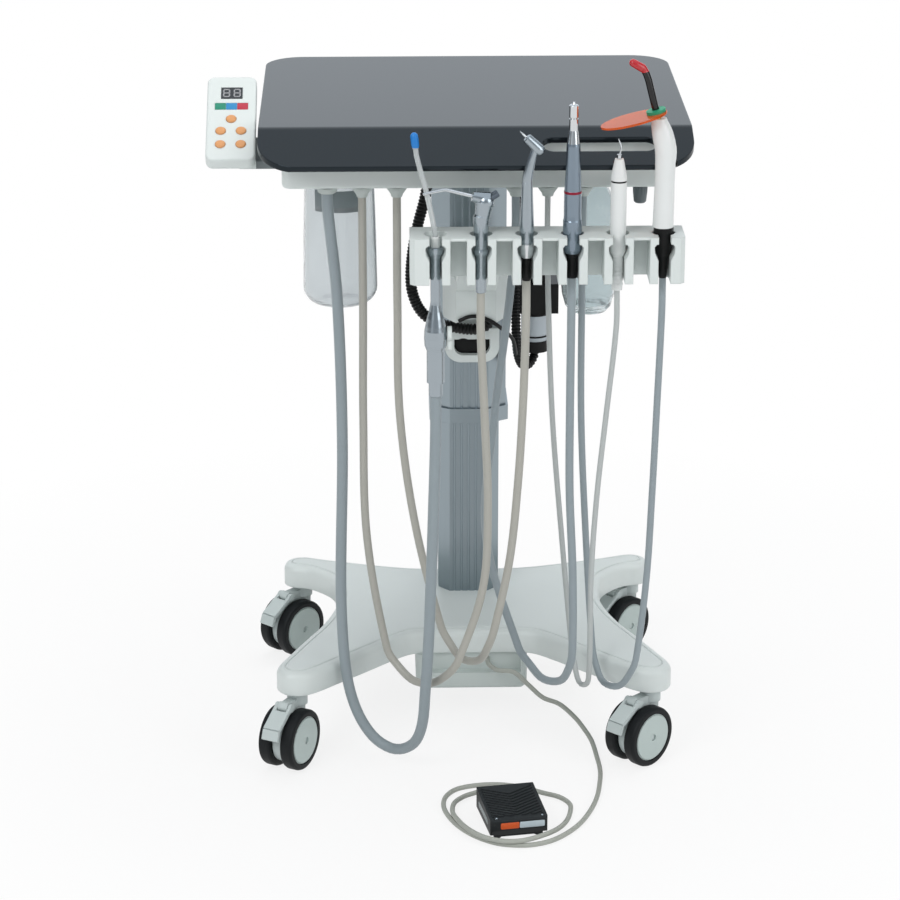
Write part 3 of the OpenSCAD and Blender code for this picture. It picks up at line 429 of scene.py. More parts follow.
@dataclass(frozen=True)
class Finish(Coating):
    """One real material with one surface.

    Attributes:
        name: What it is and how it was made.
        colour: Its sRGB colour in hex.
        roughness: Mean roughness.
        mottle: How far the colour wanders, as a share.
        mottle_mm: Size of that wandering.
        grain_mm: Size of the surface's grain.
        grain_depth: Depth of the grain in millimetres.
        metallic: 1 for a metal.
        coat: Strength of a clear coat.
        ior: Index of refraction of a non-metal.
        clear: Share of light that passes through.
        stretch: How far the grain is drawn out along X, Y and Z.
        edge_mm: Radius that sharp edges are rounded by.
        sheen: Strength of sheen.
        shine: sRGB tint of its reflections in hex.
    """

    name: str
    colour: str
    roughness: float = 0.45
    mottle: float = 0.03
    mottle_mm: float = 30.0
    grain_mm: float = 0.8
    grain_depth: float = 0.02
    metallic: float = 0.0
    coat: float = 0.0
    ior: float = 1.5
    clear: float = 0.0
    stretch: Point = (1.0, 1.0, 1.0)
    edge_mm: float = 0.6
    sheen: float = 0.0
    shine: str = "FFFFFF"

    def shader(self, tree: Tree) -> Socket:
        """Build the finish in a tree.

        Args:
            tree: Node tree of the material.

        Returns:
            The shader output.
        """
        where = node(tree, "ShaderNodeTexCoord").outputs["Object"]
        drawn = node(tree, "ShaderNodeMapping", {"Scale": tuple(1000 * s for s in self.stretch)},
                     {"Vector": where}).outputs["Vector"]
        cloud = node(tree, "ShaderNodeTexNoise",
                     {"Scale": 1 / self.mottle_mm, "Detail": 3.0, "Roughness": 0.55}, {"Vector": drawn})
        base = Vector(linear(self.colour))
        low = tuple(c * (1 - self.mottle) for c in base[:3]) + (1.0,)
        high = tuple(min(1.0, c * (1 + self.mottle)) for c in base[:3]) + (1.0,)
        tint = node(tree, "ShaderNodeMix", {"data_type": "RGBA", 6: low, 7: high}, {0: cloud.outputs["Fac"]})
        grain = node(tree, "ShaderNodeTexNoise",
                     {"Scale": 1 / self.grain_mm, "Detail": 2.0, "Roughness": 0.6}, {"Vector": drawn})
        rough = node(tree, "ShaderNodeMapRange",
                     {"To Min": max(0.02, self.roughness * 0.9), "To Max": min(1.0, self.roughness * 1.1)},
                     {"Value": grain.outputs["Fac"]})
        edge = node(tree, "ShaderNodeBevel", {"samples": 4, "Radius": self.edge_mm / 1000})
        bump = node(tree, "ShaderNodeBump",
                    {"Strength": 1.0, "Distance": self.grain_depth / 1000},
                    {"Height": grain.outputs["Fac"], "Normal": edge.outputs["Normal"]})
        body = node(tree, "ShaderNodeBsdfPrincipled",
                    {"Metallic": self.metallic, "Coat Weight": self.coat, "Coat Roughness": 0.08,
                     "Transmission Weight": self.clear, "Sheen Weight": self.sheen,
                     "Specular Tint": linear(self.shine), **({} if self.metallic else {"IOR": self.ior})},
                    {"Base Color": tint.outputs[2], "Roughness": rough.outputs["Result"],
                     "Normal": bump.outputs["Normal"]})
        return body.outputs["BSDF"]


class Cut(Enum):
    """What a banded solid's cuts are measured along."""

    ALONG = "along the axis"
    ROUND = "away from the axis"


@dataclass(frozen=True)
class Banded(Coating):
    """Several finishes on one solid, cut where one piece of the real object meets the next.

    Attributes:
        name: Name of the material.
        finishes: Finishes in order.
        cuts: Millimetres along the axis, or from it, where each next finish starts.
        origin: Point on the axis in the part's own millimetres.
        axis: Direction of the axis.
        cut: Cut along the axis or away from it.
    """

    name: str
    finishes: tuple[Finish, ...]
    cuts: tuple[float, ...]
    origin: Point = (0.0, 0.0, 0.0)
    axis: Point = (0.0, 0.0, 1.0)
    cut: Cut = Cut.ALONG

    def shader(self, tree: Tree) -> Socket:
        """Build every finish in a tree and switch between them at the cuts.

        Args:
            tree: Node tree of the material.

        Returns:
            The shader output.
        """
        along = Vector(self.axis).normalized()
        where = node(tree, "ShaderNodeTexCoord").outputs["Object"]
        off = node(tree, "ShaderNodeVectorMath", {"operation": "SUBTRACT", 1: tuple(place(*self.origin))},
                   {0: where}).outputs["Vector"]
        if self.cut is Cut.ROUND:
            across = node(tree, "ShaderNodeVectorMath", {"operation": "CROSS_PRODUCT", 1: tuple(along)},
                          {0: off})
            far = node(tree, "ShaderNodeVectorMath", {"operation": "LENGTH"}, {0: across.outputs["Vector"]})
        else:
            far = node(tree, "ShaderNodeVectorMath", {"operation": "DOT_PRODUCT", 1: tuple(along)}, {0: off})
        shader = self.finishes[0].shader(tree)
        for cut, finish in zip(self.cuts, self.finishes[1:]):
            past = maths(tree, "GREATER_THAN", far.outputs["Value"], cut / 1000)
            mixed = node(tree, "ShaderNodeMixShader", {}, {"Fac": past, 1: shader, 2: finish.shader(tree)})
            shader = mixed.outputs["Shader"]
        return shader


# Injection-moulded ABS: near white, with a fine even spark-eroded texture that dulls its shine.
WHITE_ABS = Finish("moulded_white_abs", "D7DEDC", 0.36, mottle=0.015, mottle_mm=60, grain_mm=0.9,
                   grain_depth=0.012, edge_mm=1.6)
# The same plastic in pale grey on the box under the hub, more matt.
PALE_ABS = Finish("moulded_pale_abs", "C6CFCC", 0.5, mottle=0.02, edge_mm=1.2)
# Extruded aluminium, satin anodised: fine lines run along the extrusion.
ANODISED = Finish("extruded_anodised_aluminium", "939EA4", 0.29, mottle=0.04, grain_mm=0.5, metallic=1.0,
                  grain_depth=0.01, stretch=(1, 1, 0.02))
# Toughened glass with a black tint on its back, polished: deep black with a hard reflection.
BLACK_GLASS = Finish("polished_black_glass", "14181B", 0.07, mottle=0.02, grain_mm=4, grain_depth=0.0,
                     ior=1.41, edge_mm=1.8, shine="D2E6F4")
# Glass-filled nylon of the caster housings: white, waxy.
CASTER_NYLON = Finish("moulded_white_nylon", "C3CDCC", 0.42, mottle=0.02, edge_mm=1.2)
# Cast polyurethane tread: near black and matt.
TREAD = Finish("cast_black_polyurethane", "141719", 0.55, mottle=0.06, grain_mm=0.6, grain_depth=0.03,
               ior=1.3, edge_mm=1.0)
# Hub caps of the casters: pale grey nylon.
HUB_CAP = Finish("moulded_grey_nylon", "BAC7C4", 0.4, mottle=0.02, edge_mm=1.0)
# Turned steel of the lift screw.
TURNED_STEEL = Finish("turned_steel", "7C8084", 0.35, metallic=1.0, grain_depth=0.01)
# Satin chrome on turned brass: bright, with a soft grey bloom.
SATIN_CHROME = Finish("satin_chromed_brass", "A2ABB1", 0.22, mottle=0.02, metallic=1.0, grain_mm=0.4,
                      grain_depth=0.003, edge_mm=0.4)
# Polished chrome of rings and couplings.
BRIGHT_CHROME = Finish("polished_chrome", "D3D6D8", 0.1, mottle=0.01, metallic=1.0, grain_depth=0.0,
                       edge_mm=0.4)
# Hard-anodised body of the low-speed handpiece, blue-grey.
BLUE_ANODISED = Finish("blue_grey_anodised_aluminium", "84919D", 0.24, mottle=0.02, metallic=0.9,
                       grain_depth=0.003, edge_mm=0.4)
# Silicone hoses, extruded: matt with a faint bloom; grey, beige and pale.
GREY_SILICONE = Finish("extruded_grey_silicone", "8F9A9F", 0.5, grain_mm=0.7, grain_depth=0.01, sheen=0.1)
BEIGE_SILICONE = Finish("extruded_beige_silicone", "ABAAA2", 0.5, grain_mm=0.7, grain_depth=0.01, sheen=0.1)
PALE_SILICONE = Finish("extruded_pale_silicone", "B4B9B8", 0.5, grain_mm=0.7, grain_depth=0.01, sheen=0.1)
CABLE_PVC = Finish("extruded_grey_pvc", "A7AAA2", 0.5, mottle=0.04, grain_mm=0.7, grain_depth=0.01)
# Moulded elastomer glands, light grey.
GLAND_GREY = Finish("moulded_grey_elastomer", "BEC6C3", 0.55, mottle=0.02, edge_mm=0.8)
# Corrugated nylon conduit, black with a dull shine.
CONDUIT = Finish("corrugated_black_nylon", "0D0E0F", 0.36, mottle=0.05, ior=1.35, edge_mm=0.3)
# Black acetal and ABS of regulator, switches and pedal.
BLACK_ACETAL = Finish("moulded_black_acetal", "0B0C0D", 0.35, mottle=0.05, ior=1.3, edge_mm=0.8)
PEDAL_ABS = Finish("moulded_black_abs", "1C2022", 0.5, mottle=0.05, grain_depth=0.04,
                   ior=1.35, edge_mm=0.8)
# Pale nylon of the regulator's bowl guard.
BOWL_GREY = Finish("moulded_pale_nylon", "B2BBC1", 0.4, mottle=0.02)
# Dark grey knob.
KNOB_GREY = Finish("moulded_dark_nylon", "5C6568", 0.4, edge_mm=0.8)
# Silicone keys in orange-tan.
KEY_TAN = Finish("moulded_tan_silicone", "D99A63", 0.45)
# Smoked window over the display.
SMOKED = Finish("polished_smoked_acrylic", "1B2024", 0.12, mottle=0.02, grain_depth=0.0, coat=0.5)
# Blown polycarbonate: clear, faintly milky.
JAR_CLEAR = Finish("blown_clear_polycarbonate", "EDF1F3", 0.12, mottle=0.01, grain_depth=0.0, clear=0.85,
                   ior=1.35, edge_mm=0.1)
PET_CLEAR = Finish("blown_clear_pet", "DDE6E8", 0.1, mottle=0.01, grain_depth=0.0, clear=0.88, ior=1.3,
                   edge_mm=0.1)
TUBE_CLEAR = Finish("extruded_clear_pvc", "D9DEDF", 0.2, mottle=0.02, clear=0.45, ior=1.4, grain_depth=0.0)
TIP_BLUE = Finish("moulded_blue_vinyl", "1279C9", 0.35, mottle=0.04)
# White sleeve of scaler and curing light, smooth and a little glossy.
SLEEVE_WHITE = Finish("moulded_white_sleeve", "E2E5E4", 0.26, mottle=0.01, grain_depth=0.003, edge_mm=0.5)
GUIDE_BLACK = Finish("sheathed_glass_guide", "08090A", 0.18, grain_depth=0.003)
TIP_RED = Finish("dipped_red_vinyl", "B5121F", 0.25, coat=0.5)
COLLAR_GREEN = Finish("moulded_green_elastomer", "23966E", 0.45)
RING_GOLD = Finish("gilt_brass_ring", "D8A23C", 0.25, metallic=1.0, mottle=0.02)
RING_RED = Finish("anodised_red_ring", "8E1E33", 0.3, metallic=0.7, mottle=0.02)
SHIELD_ORANGE = Finish("cast_orange_filter", "E8702A", 0.12, mottle=0.02, grain_depth=0.0, clear=0.55,
                       ior=1.3)
STEEL = Finish("polished_stainless_steel", "CED2D5", 0.14, metallic=1.0, mottle=0.01, grain_depth=0.0)
BRACKET_GREY = Finish("moulded_dark_bracket", "6E7678", 0.45, edge_mm=1.0)
KEY_GREY = Finish("moulded_grey_keys", "4B555F", 0.4, edge_mm=0.4)
# Printed polyester films: thirds of the panel's colour bar, the strips on the pedal, the bottle's bare label.
FILM_GREEN = Finish("printed_green_film", "12876B", 0.35, mottle=0.06, mottle_mm=3)
FILM_BLUE = Finish("printed_blue_film", "1C86C0", 0.35, mottle=0.06, mottle_mm=3)
FILM_RED = Finish("printed_red_film", "B8293F", 0.35, mottle=0.06, mottle_mm=3)
FILM_ORANGE = Finish("printed_orange_film", "D4571F", 0.4, mottle=0.1, mottle_mm=4)
FILM_PALE = Finish("printed_pale_film", "B9C7CE", 0.4, mottle=0.06, mottle_mm=4)
FILM_STEEL = Finish("printed_grey_film", "8E9A9B", 0.4, mottle=0.06, mottle_mm=4)
LABEL_GREY = Finish("printed_dark_label", "7C878A", 0.5, mottle=0.04, mottle_mm=5)
DIGIT_PALE = Finish("moulded_display_segment", "9A9B9E", 0.4, mottle=0.04, mottle_mm=2)


# ------------------------------------------------------------------ studio


@dataclass(frozen=True)
class FloorPaint(Coating):
    """White floor that the camera sees as plain white, but for a soft shadow near the object.

    Attributes:
        name: Name of the material.
        glow_near: Share of plain white under the object.
        fade: Distances in metres from which and to which the shadow fades out.
    """

    name: str = "painted_white_floor"
    glow_near: float = 0.82
    fade: Pair = (0.45, 1.1)

    def shader(self, tree: Tree) -> Socket:
        """Build the paint and the white that the camera and clear or shiny surfaces see."""
        where = node(tree, "ShaderNodeTexCoord").outputs["Object"]
        fleck = node(tree, "ShaderNodeTexNoise", {"Scale": 3.0, "Detail": 2.0}, {"Vector": where})
        tone = node(tree, "ShaderNodeMapRange", {"To Min": 0.90, "To Max": 0.93},
                    {"Value": fleck.outputs["Fac"]})
        paint = node(tree, "ShaderNodeBsdfDiffuse", {}, {"Color": tone.outputs["Result"]})
        glow = node(tree, "ShaderNodeEmission", {"Color": (1, 1, 1, 1), "Strength": 1.0})
        rays = node(tree, "ShaderNodeLightPath").outputs
        seen = maths(tree, "MAXIMUM", rays["Is Camera Ray"], rays["Is Glossy Ray"])
        seen = maths(tree, "MAXIMUM", seen, rays["Is Transmission Ray"])
        away = node(tree, "ShaderNodeVectorMath", {"operation": "LENGTH"}, {0: where})
        limits = {"From Min": self.fade[0], "From Max": self.fade[1], "To Min": self.glow_near, "To Max": 1.0}
        white = node(tree, "ShaderNodeMapRange", limits, {"Value": away.outputs["Value"]})
        share = maths(tree, "MULTIPLY", seen, white.outputs["Result"])
        mix = node(tree, "ShaderNodeMixShader", {},
                   {"Fac": share, 1: paint.outputs["BSDF"], 2: glow.outputs["Emission"]})
        return mix.outputs["Shader"]


@dataclass
class Studio:
    """White cove with soft light, and the camera of the photograph.

    Attributes:
        lens_mm: Focal length on a sensor of sensor_mm.
        sensor_mm: Width of the sensor.
        eye: Camera position in the part's own millimetres.
        pitch: Degrees that the camera looks down from level.
        yaw: Degrees that it looks to the right of straight ahead.
        floor_size: Half the edge of the floor in metres.
        floor_drop: Gap under the wheels in metres.
        aim: Point in metres that the lamps face.
    """

    lens_mm: float = 129.58
    sensor_mm: float = 36.0
    eye: Point = (-115.01, -3738.77, 1696.55)
    pitch: float = 19.88
    yaw: float = 1.37
    floor_size: float = 12.0
    floor_drop: float = 0.0006
    aim: Point = (0.0, 0.0, 0.45)

    def camera(self) -> None:
        """Set up the camera."""
        data = bpy.data.cameras.new("photo_camera")
        data.sensor_width = self.sensor_mm
        data.sensor_fit = "HORIZONTAL"
        data.lens = self.lens_mm
        data.clip_end = 50.0
        cam = bpy.data.objects.new("photo_camera", data)
        cam.location = place(*self.eye)
        cam.rotation_euler = (math.radians(90 - self.pitch), 0, math.radians(-self.yaw))
        bpy.context.scene.collection.objects.link(cam)
        bpy.context.scene.camera = cam

    def floor(self) -> None:
        """Lay the pale floor that keeps the object's soft shadow."""
        signs = ((-1, -1), (1, -1), (1, 1), (-1, 1))
        corners = [(self.floor_size * x, self.floor_size * y, -self.floor_drop) for x, y in signs]
        data = bpy.data.meshes.new("floor")
        data.from_pydata(corners, [], [(0, 1, 2, 3)])
        floor = bpy.data.objects.new("floor", data)
        bpy.context.scene.collection.objects.link(floor)
        data.materials.append(FloorPaint().material())

    def sky(self) -> None:
        """Light the room evenly and show it white."""
        world = bpy.data.worlds.new("white_cove")
        bpy.context.scene.world = world
        world.use_nodes = True
        tree = world.node_tree
        tree.nodes.clear()
        rays = node(tree, "ShaderNodeLightPath").outputs
        seen = maths(tree, "MAXIMUM", rays["Is Camera Ray"], rays["Is Transmission Ray"])
        shine = maths(tree, "MAXIMUM", seen, rays["Is Glossy Ray"])
        fill = node(tree, "ShaderNodeBackground", {"Color": (0.96, 0.98, 1.0, 1), "Strength": 0.5})
        # Gloss sees a bright room, darker at both sides and behind the camera, which shapes the metal.
        where = node(tree, "ShaderNodeTexCoord").outputs["Generated"]
        split = node(tree, "ShaderNodeSeparateXYZ", {}, {"Vector": where})
        side = maths(tree, "ABSOLUTE", split.outputs["X"], 0.0)
        walls = ((side, 0.5, 0.92, 1.0, 0.22), (split.outputs["Y"], -0.95, -0.7, 0.45, 1.0))
        shades = []
        for value, start, end, low, high in walls:
            limits = {"From Min": start, "From Max": end, "To Min": low, "To Max": high}
            shades.append(node(tree, "ShaderNodeMapRange", {"interpolation_type": "SMOOTHSTEP", **limits},
                               {"Value": value}).outputs["Result"])
        room = node(tree, "ShaderNodeBackground", {"Color": (0.88, 0.94, 1, 1)},
                    {"Strength": maths(tree, "MULTIPLY", *shades)})
        white = node(tree, "ShaderNodeBackground", {"Color": (1, 1, 1, 1), "Strength": 1.0})
        gloss = node(tree, "ShaderNodeMixShader", {},
                     {"Fac": shine, 1: fill.outputs["Background"], 2: room.outputs["Background"]})
        mix = node(tree, "ShaderNodeMixShader", {},
                   {"Fac": seen, 1: gloss.outputs["Shader"], 2: white.outputs["Background"]})
        node(tree, "ShaderNodeOutputWorld", {}, {"Surface": mix.outputs["Shader"]})

    def lamp(self, name: str, at: Point, size: float, power: float, shine: bool = True) -> None:
        """Hang a soft box that faces the tray.

        Args:
            name: Name of the lamp.
            at: Its place in metres.
            size: Edge of the soft box in metres.
            power: Watts.
            shine: Glossy surfaces mirror it.
        """
        data = bpy.data.lights.new(name, "AREA")
        data.energy = power
        data.size = size
        lamp = bpy.data.objects.new(name, data)
        lamp.location = at
        lamp.visible_glossy = shine
        lamp.rotation_euler = (Vector(self.aim) - Vector(at)).to_track_quat("-Z", "Y").to_euler()
        bpy.context.scene.collection.objects.link(lamp)

    def build(self) -> None:
        """Set the whole studio up."""
        self.camera()
        self.floor()
        self.sky()
        self.lamp("key_softbox", (-1.8, -2.4, 2.6), 1.6, 42)
        self.lamp("fill_softbox", (2.2, -1.8, 1.6), 1.8, 22)
        self.lamp("top_softbox", (0.2, 0.6, 2.8), 1.8, 26, shine=False)
        bpy.context.scene.view_settings.view_transform = "Standard"


# ------------------------------------------------------------------ hoses and cable


class Lay(Enum):
    """How a free cord lies at rest."""

    HANGING = "hanging"
    LOOSE = "loose"


@dataclass(frozen=True)
class Cord:
    """A free hose or cable from its outlet to what it feeds.

    Attributes:
        node: The solid that it replaces.
        radius_mm: Outer radius.
        length_m: Real length; not used.
        finish: Material.
        slot: The record's material slot; not used.
        body: Body at its far end, or that a loose cord rides on.
        route: Route points in the part's own millimetres.
        lay: How it lies at rest; a hanging cord starts on the lifting part and stays where it is laid, a
            loose one rides on its body.
        step_mm: Distance between the rings of the skin.
        sides: Number of points of a ring.
        spin: Direction that the route never runs along.
    """

    node: str
    radius_mm: float
    length_m: float
    finish: Finish
    slot: str
    body: str
    route: tuple[Point, ...]
    lay: Lay = Lay.HANGING
    step_mm: float = 7.0
    sides: int = 18
    spin: Point = (0, 1, 0)

    def build(self) -> None:
        path = smooth_path(self.route, self.step_mm)
        piece = tube(self.node + "_skin", path, self.radius_mm / 1000, self.sides, Vector(self.spin))
        dress(piece, self.finish)
        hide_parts(self.node)
        if self.lay is Lay.HANGING:
            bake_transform(piece)
        else:
            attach(piece, self.body)
        log.info("%s runs %.3f m", self.node, path_length(path))


CORDS = (
    Cord("hose_suction", 6.5, 1.216, GREY_SILICONE, "hose_grey", "suction", (
        (-170, -132, 708), (-170, -132, 692), (-160, -132, 581), (-156, -135, 405), (-159.7, -139, 223.5),
        (-157.5, -143, 147), (-151.9, -146, 96.9), (-140.2, -149, 58.4), (-122.3, -154, 30.5),
        (-102.4, -165, 20.6), (-86.1, -178, 25.3), (-71.7, -193, 42.1), (-63.5, -206, 71.8),
        (-60, -214, 118.4), (-56.3, -218.5, 178.5), (-53, -222, 263), (-50, -225, 355), (-47.5, -226, 448),
        (-47.5, -226, 493))),
    Cord("hose_syringe", 4.75, 1.176, BEIGE_SILICONE, "hose_beige", "syringe", (
        (-130, -132, 703), (-130, -132, 663), (-130, -132, 573), (-131, -134, 429), (-128, -137, 285),
        (-105, -139, 140), (-93, -146, 122), (-74, -166, 110), (-51, -192, 118), (-32, -212, 139),
        (-21, -219, 158), (8, -221, 253), (13, -223, 356), (9, -225, 463), (4, -226, 570),
        (4, -226, 616))),
    Cord("hose_highspeed", 4.75, 1.118, BEIGE_SILICONE, "hose_beige", "highspeed", (
        (-90, -132, 703), (-90, -132, 663), (-90, -132, 573), (-88, -135, 439), (-71, -138, 304),
        (-40, -141, 170), (-30, -147, 151), (-15, -167, 138), (5, -191, 147), (15, -211, 174),
        (21, -217, 195), (39, -220, 287), (48, -222, 384), (53, -225, 484), (55.5, -226, 585),
        (55.5, -226, 630))),
    Cord("hose_lowspeed", 4.75, 1.178, GREY_SILICONE, "hose_grey", "lowspeed", (
        (47, -132, 703), (47, -132, 663), (40, -132, 573), (23, -135, 430), (14, -138, 285),
        (54, -141, 140), (66, -147, 123), (82, -167, 111), (102, -191, 119), (111, -211, 145),
        (114, -217, 167), (113, -220, 268), (108, -222, 374), (107, -225, 481), (107, -226, 588),
        (107, -226, 633))),
    Cord("hose_scaler", 3.25, 1.146, PALE_SILICONE, "hose_grey", "scaler", (
        (84, -132, 703), (84, -132, 663), (86, -132, 573), (92, -136, 432), (104, -139, 289),
        (118, -143, 142), (121, -149, 123), (126, -167, 106), (134, -191, 115), (135, -209, 145),
        (135, -215, 168), (135, -218, 269), (140, -222, 369), (149, -225, 470), (158.5, -226, 573),
        (158.5, -226, 618))),
    Cord("hose_light", 4.0, 1.171, GREY_SILICONE, "hose_grey", "light", (
        (125, -132, 703), (125, -132, 663), (125, -132, 573), (126, -136, 432), (133, -139, 289),
        (143, -143, 142), (147, -149, 122), (155, -167, 106), (172, -191, 111), (184, -209, 136),
        (190, -215, 157), (200, -218, 261), (204, -222, 368), (207, -225, 477), (210, -226, 587),
        (210, -226, 632))),
    # The foot pedal's cable lies in two turns round the pedal.
    Cord("pedal_cable", 2.9, 1.236, CABLE_PVC, "cable_grey", "stand", (
        (20, -40, 84), (21, -58, 83), (31, -70, 80), (51, -74, 79), (71, -74, 60), (88, -72, 43),
        (108, -76, 36), (126, -88, 24), (137, -106, 16), (145, -128, 10), (149, -155, 4),
        (151, -197, 3), (148, -234, 3), (142, -272, 3), (132, -307, 3), (118, -340, 3), (102, -364, 3),
        (83, -383, 3), (61, -393, 3), (40, -394, 3), (18, -388, 3), (-4, -371, 3), (-22, -347, 3),
        (-34, -320, 3), (-40, -292, 3), (-37, -266, 3), (-24, -246, 3), (-1, -236, 3), (27, -234, 3),
        (54, -242, 3), (79, -258, 3), (98, -270, 3), (109, -289, 3), (108, -311, 3), (102, -336, 4),
        (91, -359, 6), (73, -381, 9), (49, -394, 9), (26, -395, 9), (4, -384, 9), (-13, -364, 9),
        (-24, -341, 9), (-30, -315, 7), (-27, -286, 5), (-15, -269, 5), (-2, -262, 6), (12, -257, 8),
        (23, -262, 9), (28, -271, 9), (30.1, -282.2, 9)),
        Lay.LOOSE, 5.0, 14, (0, 0, 1)),
)


# ------------------------------------------------------------------ carried-over solids


@dataclass
class BaseMoulding:
    """Hollow legs and hub in one skin, with the groove that runs round their tops, and the stem bosses.

    Attributes:
        half: Right half of the outline from the hub's front to its back, in the part's own millimetres.
        section: Height and inset of each ring of the wall, from the ceiling inside over the rim to the top.
        boss: Height and radius of each ring of a boss.
    """

    half: tuple[Pair, ...] = (
        (0, -46), (45, -46), (74, -50), (98, -70), (128, -101), (160, -133), (188, -161), (207, -172.3),
        (226, -170), (237, -155), (237, -139), (225, -108), (205, -60), (187, -18), (174, 24), (167, 62),
        (167.5, 98), (173, 127), (187, 149), (206, 166), (226, 172), (236.5, 184), (235, 201), (224, 211),
        (208, 212.5), (188, 205), (162, 196), (124, 184), (84, 173.5), (50, 169), (0, 169))
    section: tuple[Pair, ...] = (
        (117, 4.5), (93, 4.5), (93, 1), (93.4, 0.35), (94.2, 0), (104, 0), (113, 0), (115.6, 0.35),
        (118, 1.4), (119.8, 2.8), (121, 4.6), (121.8, 6.8), (122.2, 9), (122.3, 9.9), (121.4, 10.4),
        (121.3, 11.3), (122.4, 11.9), (122.9, 13.2), (123, 14.8))
    boss: tuple[Pair, ...] = (
        (117, 15.6), (96, 15.2), (94, 15), (93.2, 14.4), (93, 13.6), (93, 6.2), (93.6, 5.6), (112, 5.6))

    def outline(self, fine: int = 5) -> list[Vector]:
        """Smooth closed outline of the moulding, counter-clockwise."""
        right = [Vector((x, y, 0)) for x, y in self.half]
        loop = right + [Vector((-p.x, p.y, 0)) for p in reversed(right[1:-1])]
        count = len(loop)
        out = []
        for i in range(count):
            p0, p1, p2, p3 = (loop[(i + k) % count] for k in (-1, 0, 1, 2))
            for step in range(fine):
                t = step / fine
                out.append((p1 * 2 + (p2 - p0) * t + (p0 * 2 - p1 * 5 + p2 * 4 - p3) * t**2
                            + (p1 * 3 - p0 - p2 * 3 + p3) * t**3) * 0.5)
        return out

    def build(self) -> None:
        """Skin the moulding and turn its four bosses."""
        loop = self.outline()
        count = len(loop)
        inwards = []
        for i in range(count):
            run = (loop[(i + 1) % count] - loop[i - 1]).normalized()
            inwards.append(Vector((-run.y, run.x, 0)))
        rings = [[place(p.x + d * n.x, p.y + d * n.y, z) for p, n in zip(loop, inwards)]
                 for z, d in self.section]
        skin = dress(loft("base_moulding_skin", rings, 38, Ends.CONCAVE), WHITE_ABS)
        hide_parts("base_moulding")
        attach(skin, "stand")
        for i, (x, y) in enumerate(STEMS.values()):
            boss = dress(turned(f"stem_boss_{i + 1}", place, x, y, self.boss, 32, 30), WHITE_ABS)
            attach(boss, "stand")
        log.info("base skinned over %d points", count)


@dataclass
class RingHandle:
    """Black face of the pad that closes the ring handle's back.

    Attributes:
        middle: Middle of the hole across, its lower edge, and the pad's front, in the part's own millimetres.
        width: Width of the hole.
        height: Height of the hole.
        corner: Radius of its two lower corners.
        gap: Gap between the pad and the hole's edge.
    """

    middle: Point = (3.0, 65.0, 447.7)
    width: float = 44.0
    height: float = 20.5
    corner: float = 11.0
    gap: float = 0.4

    def put(self, x: float, y: float, z: float) -> Vector:
        """Turn millimetres on the pad, to the right, up and to the front, into the frame's metres."""
        return place(self.middle[0] + x, self.middle[1] - z, self.middle[2] + y)

    def build(self) -> None:
        """Lay the pad's face into the ring."""
        half, r, top = self.width / 2 - self.gap, self.corner - self.gap, self.height - self.gap
        shape = [(half, top), (-half, top)]
        shape += quarter(-half + r, self.gap + r, r, 180, 8) + quarter(half - r, self.gap + r, r, 270, 8)
        pad = slab("ring_handle_pad", shape, -0.1, 0.6, self.put, 0.5)
        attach(dress(pad, BLACK_ACETAL), "lift")
        log.info("ring pad laid")


@dataclass
class RibbedConduits:
    """Two corrugated conduits and the thin lead beside them.

    Attributes:
        routes: Route points and outer radius of each conduit.
        pitch_mm: Distance from rib to rib.
        rib_mm: Height of a rib.
        wall_mm: Depth from the crests to the bore.
        lead: Route of the lead.
        lead_mm: Radius of the lead.
    """

    routes: tuple[tuple[tuple[Point, ...], float], ...] = (
        (((-50, 30, 715), (-50, 30, 700), (-54, 30, 662), (-64, 32, 621), (-71, 36, 580), (-72, 40, 544),
          (-66, 43, 520), (-55, 46, 503), (-40, 46, 494), (-21, 46, 488), (-2, 46, 485), (13, 46, 486),
          (23, 46, 493), (27, 46, 505), (27, 46, 520)), 7.0),
        (((57, 60, 715), (57, 60, 680), (57, 60, 630), (57, 60, 580), (57, 60, 530),
          (57, 60, 485), (59, 63, 452), (65, 73, 431), (74, 86, 426), (81, 94, 434), (82, 95, 447)), 6.0))
    pitch_mm: float = 4.4
    rib_mm: float = 1.4
    wall_mm: float = 2.6
    lead: tuple[Point, ...] = (
        (-15, 5.5, 508), (-7, 5.5, 512), (0, 5.5, 514), (8, 5.5, 514), (15, 5.5, 512), (24, 5.5, 508),
        (32, 7.5, 502), (39, 15, 494), (46, 23, 486), (52, 32, 476), (55, 42, 464), (57, 54, 450))
    lead_mm: float = 2.4

    def conduit(self, name: str, route: Sequence[Point], radius: float) -> Piece:
        """Sweep one conduit with its ribs and its bore.

        Args:
            name: Name of the piece.
            route: Route points in the part's own millimetres.
            radius: Outer radius in millimetres.

        Returns:
            The new object.
        """
        path = smooth_path(route, self.pitch_mm / 8)
        spin = Vector((0.4, 1, 0)).normalized()
        rings = []
        for i in range(len(path)):
            swell = 0.5 - 0.5 * math.cos(2 * math.pi * i / 8)
            rings.append(circle_on(path, i, (radius - self.rib_mm * (1 - swell**0.6)) / 1000, 20, spin))
        bore = [circle_on(path, i, (radius - self.wall_mm) / 1000, 20, spin)
                for i in range(len(path) - 1, -1, -8)]
        return loft(name, rings + bore, 60, Ends.JOINED)

    def build(self) -> None:
        """Sweep both conduits and the lead, and hang them on the lifting part."""
        for i, (route, radius) in enumerate(self.routes, 1):
            piece = dress(self.conduit(f"ribbed_conduit_{i}", route, radius), CONDUIT)
            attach(piece, "lift")
            if i == 1:
                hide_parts("ribbed_conduit")
        lead = dress(tube("conduit_lead", smooth_path(self.lead, 2.5), self.lead_mm / 1000, 16), CONDUIT)
        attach(lead, "lift")
        log.info("conduits ribbed every %.1f mm", self.pitch_mm)


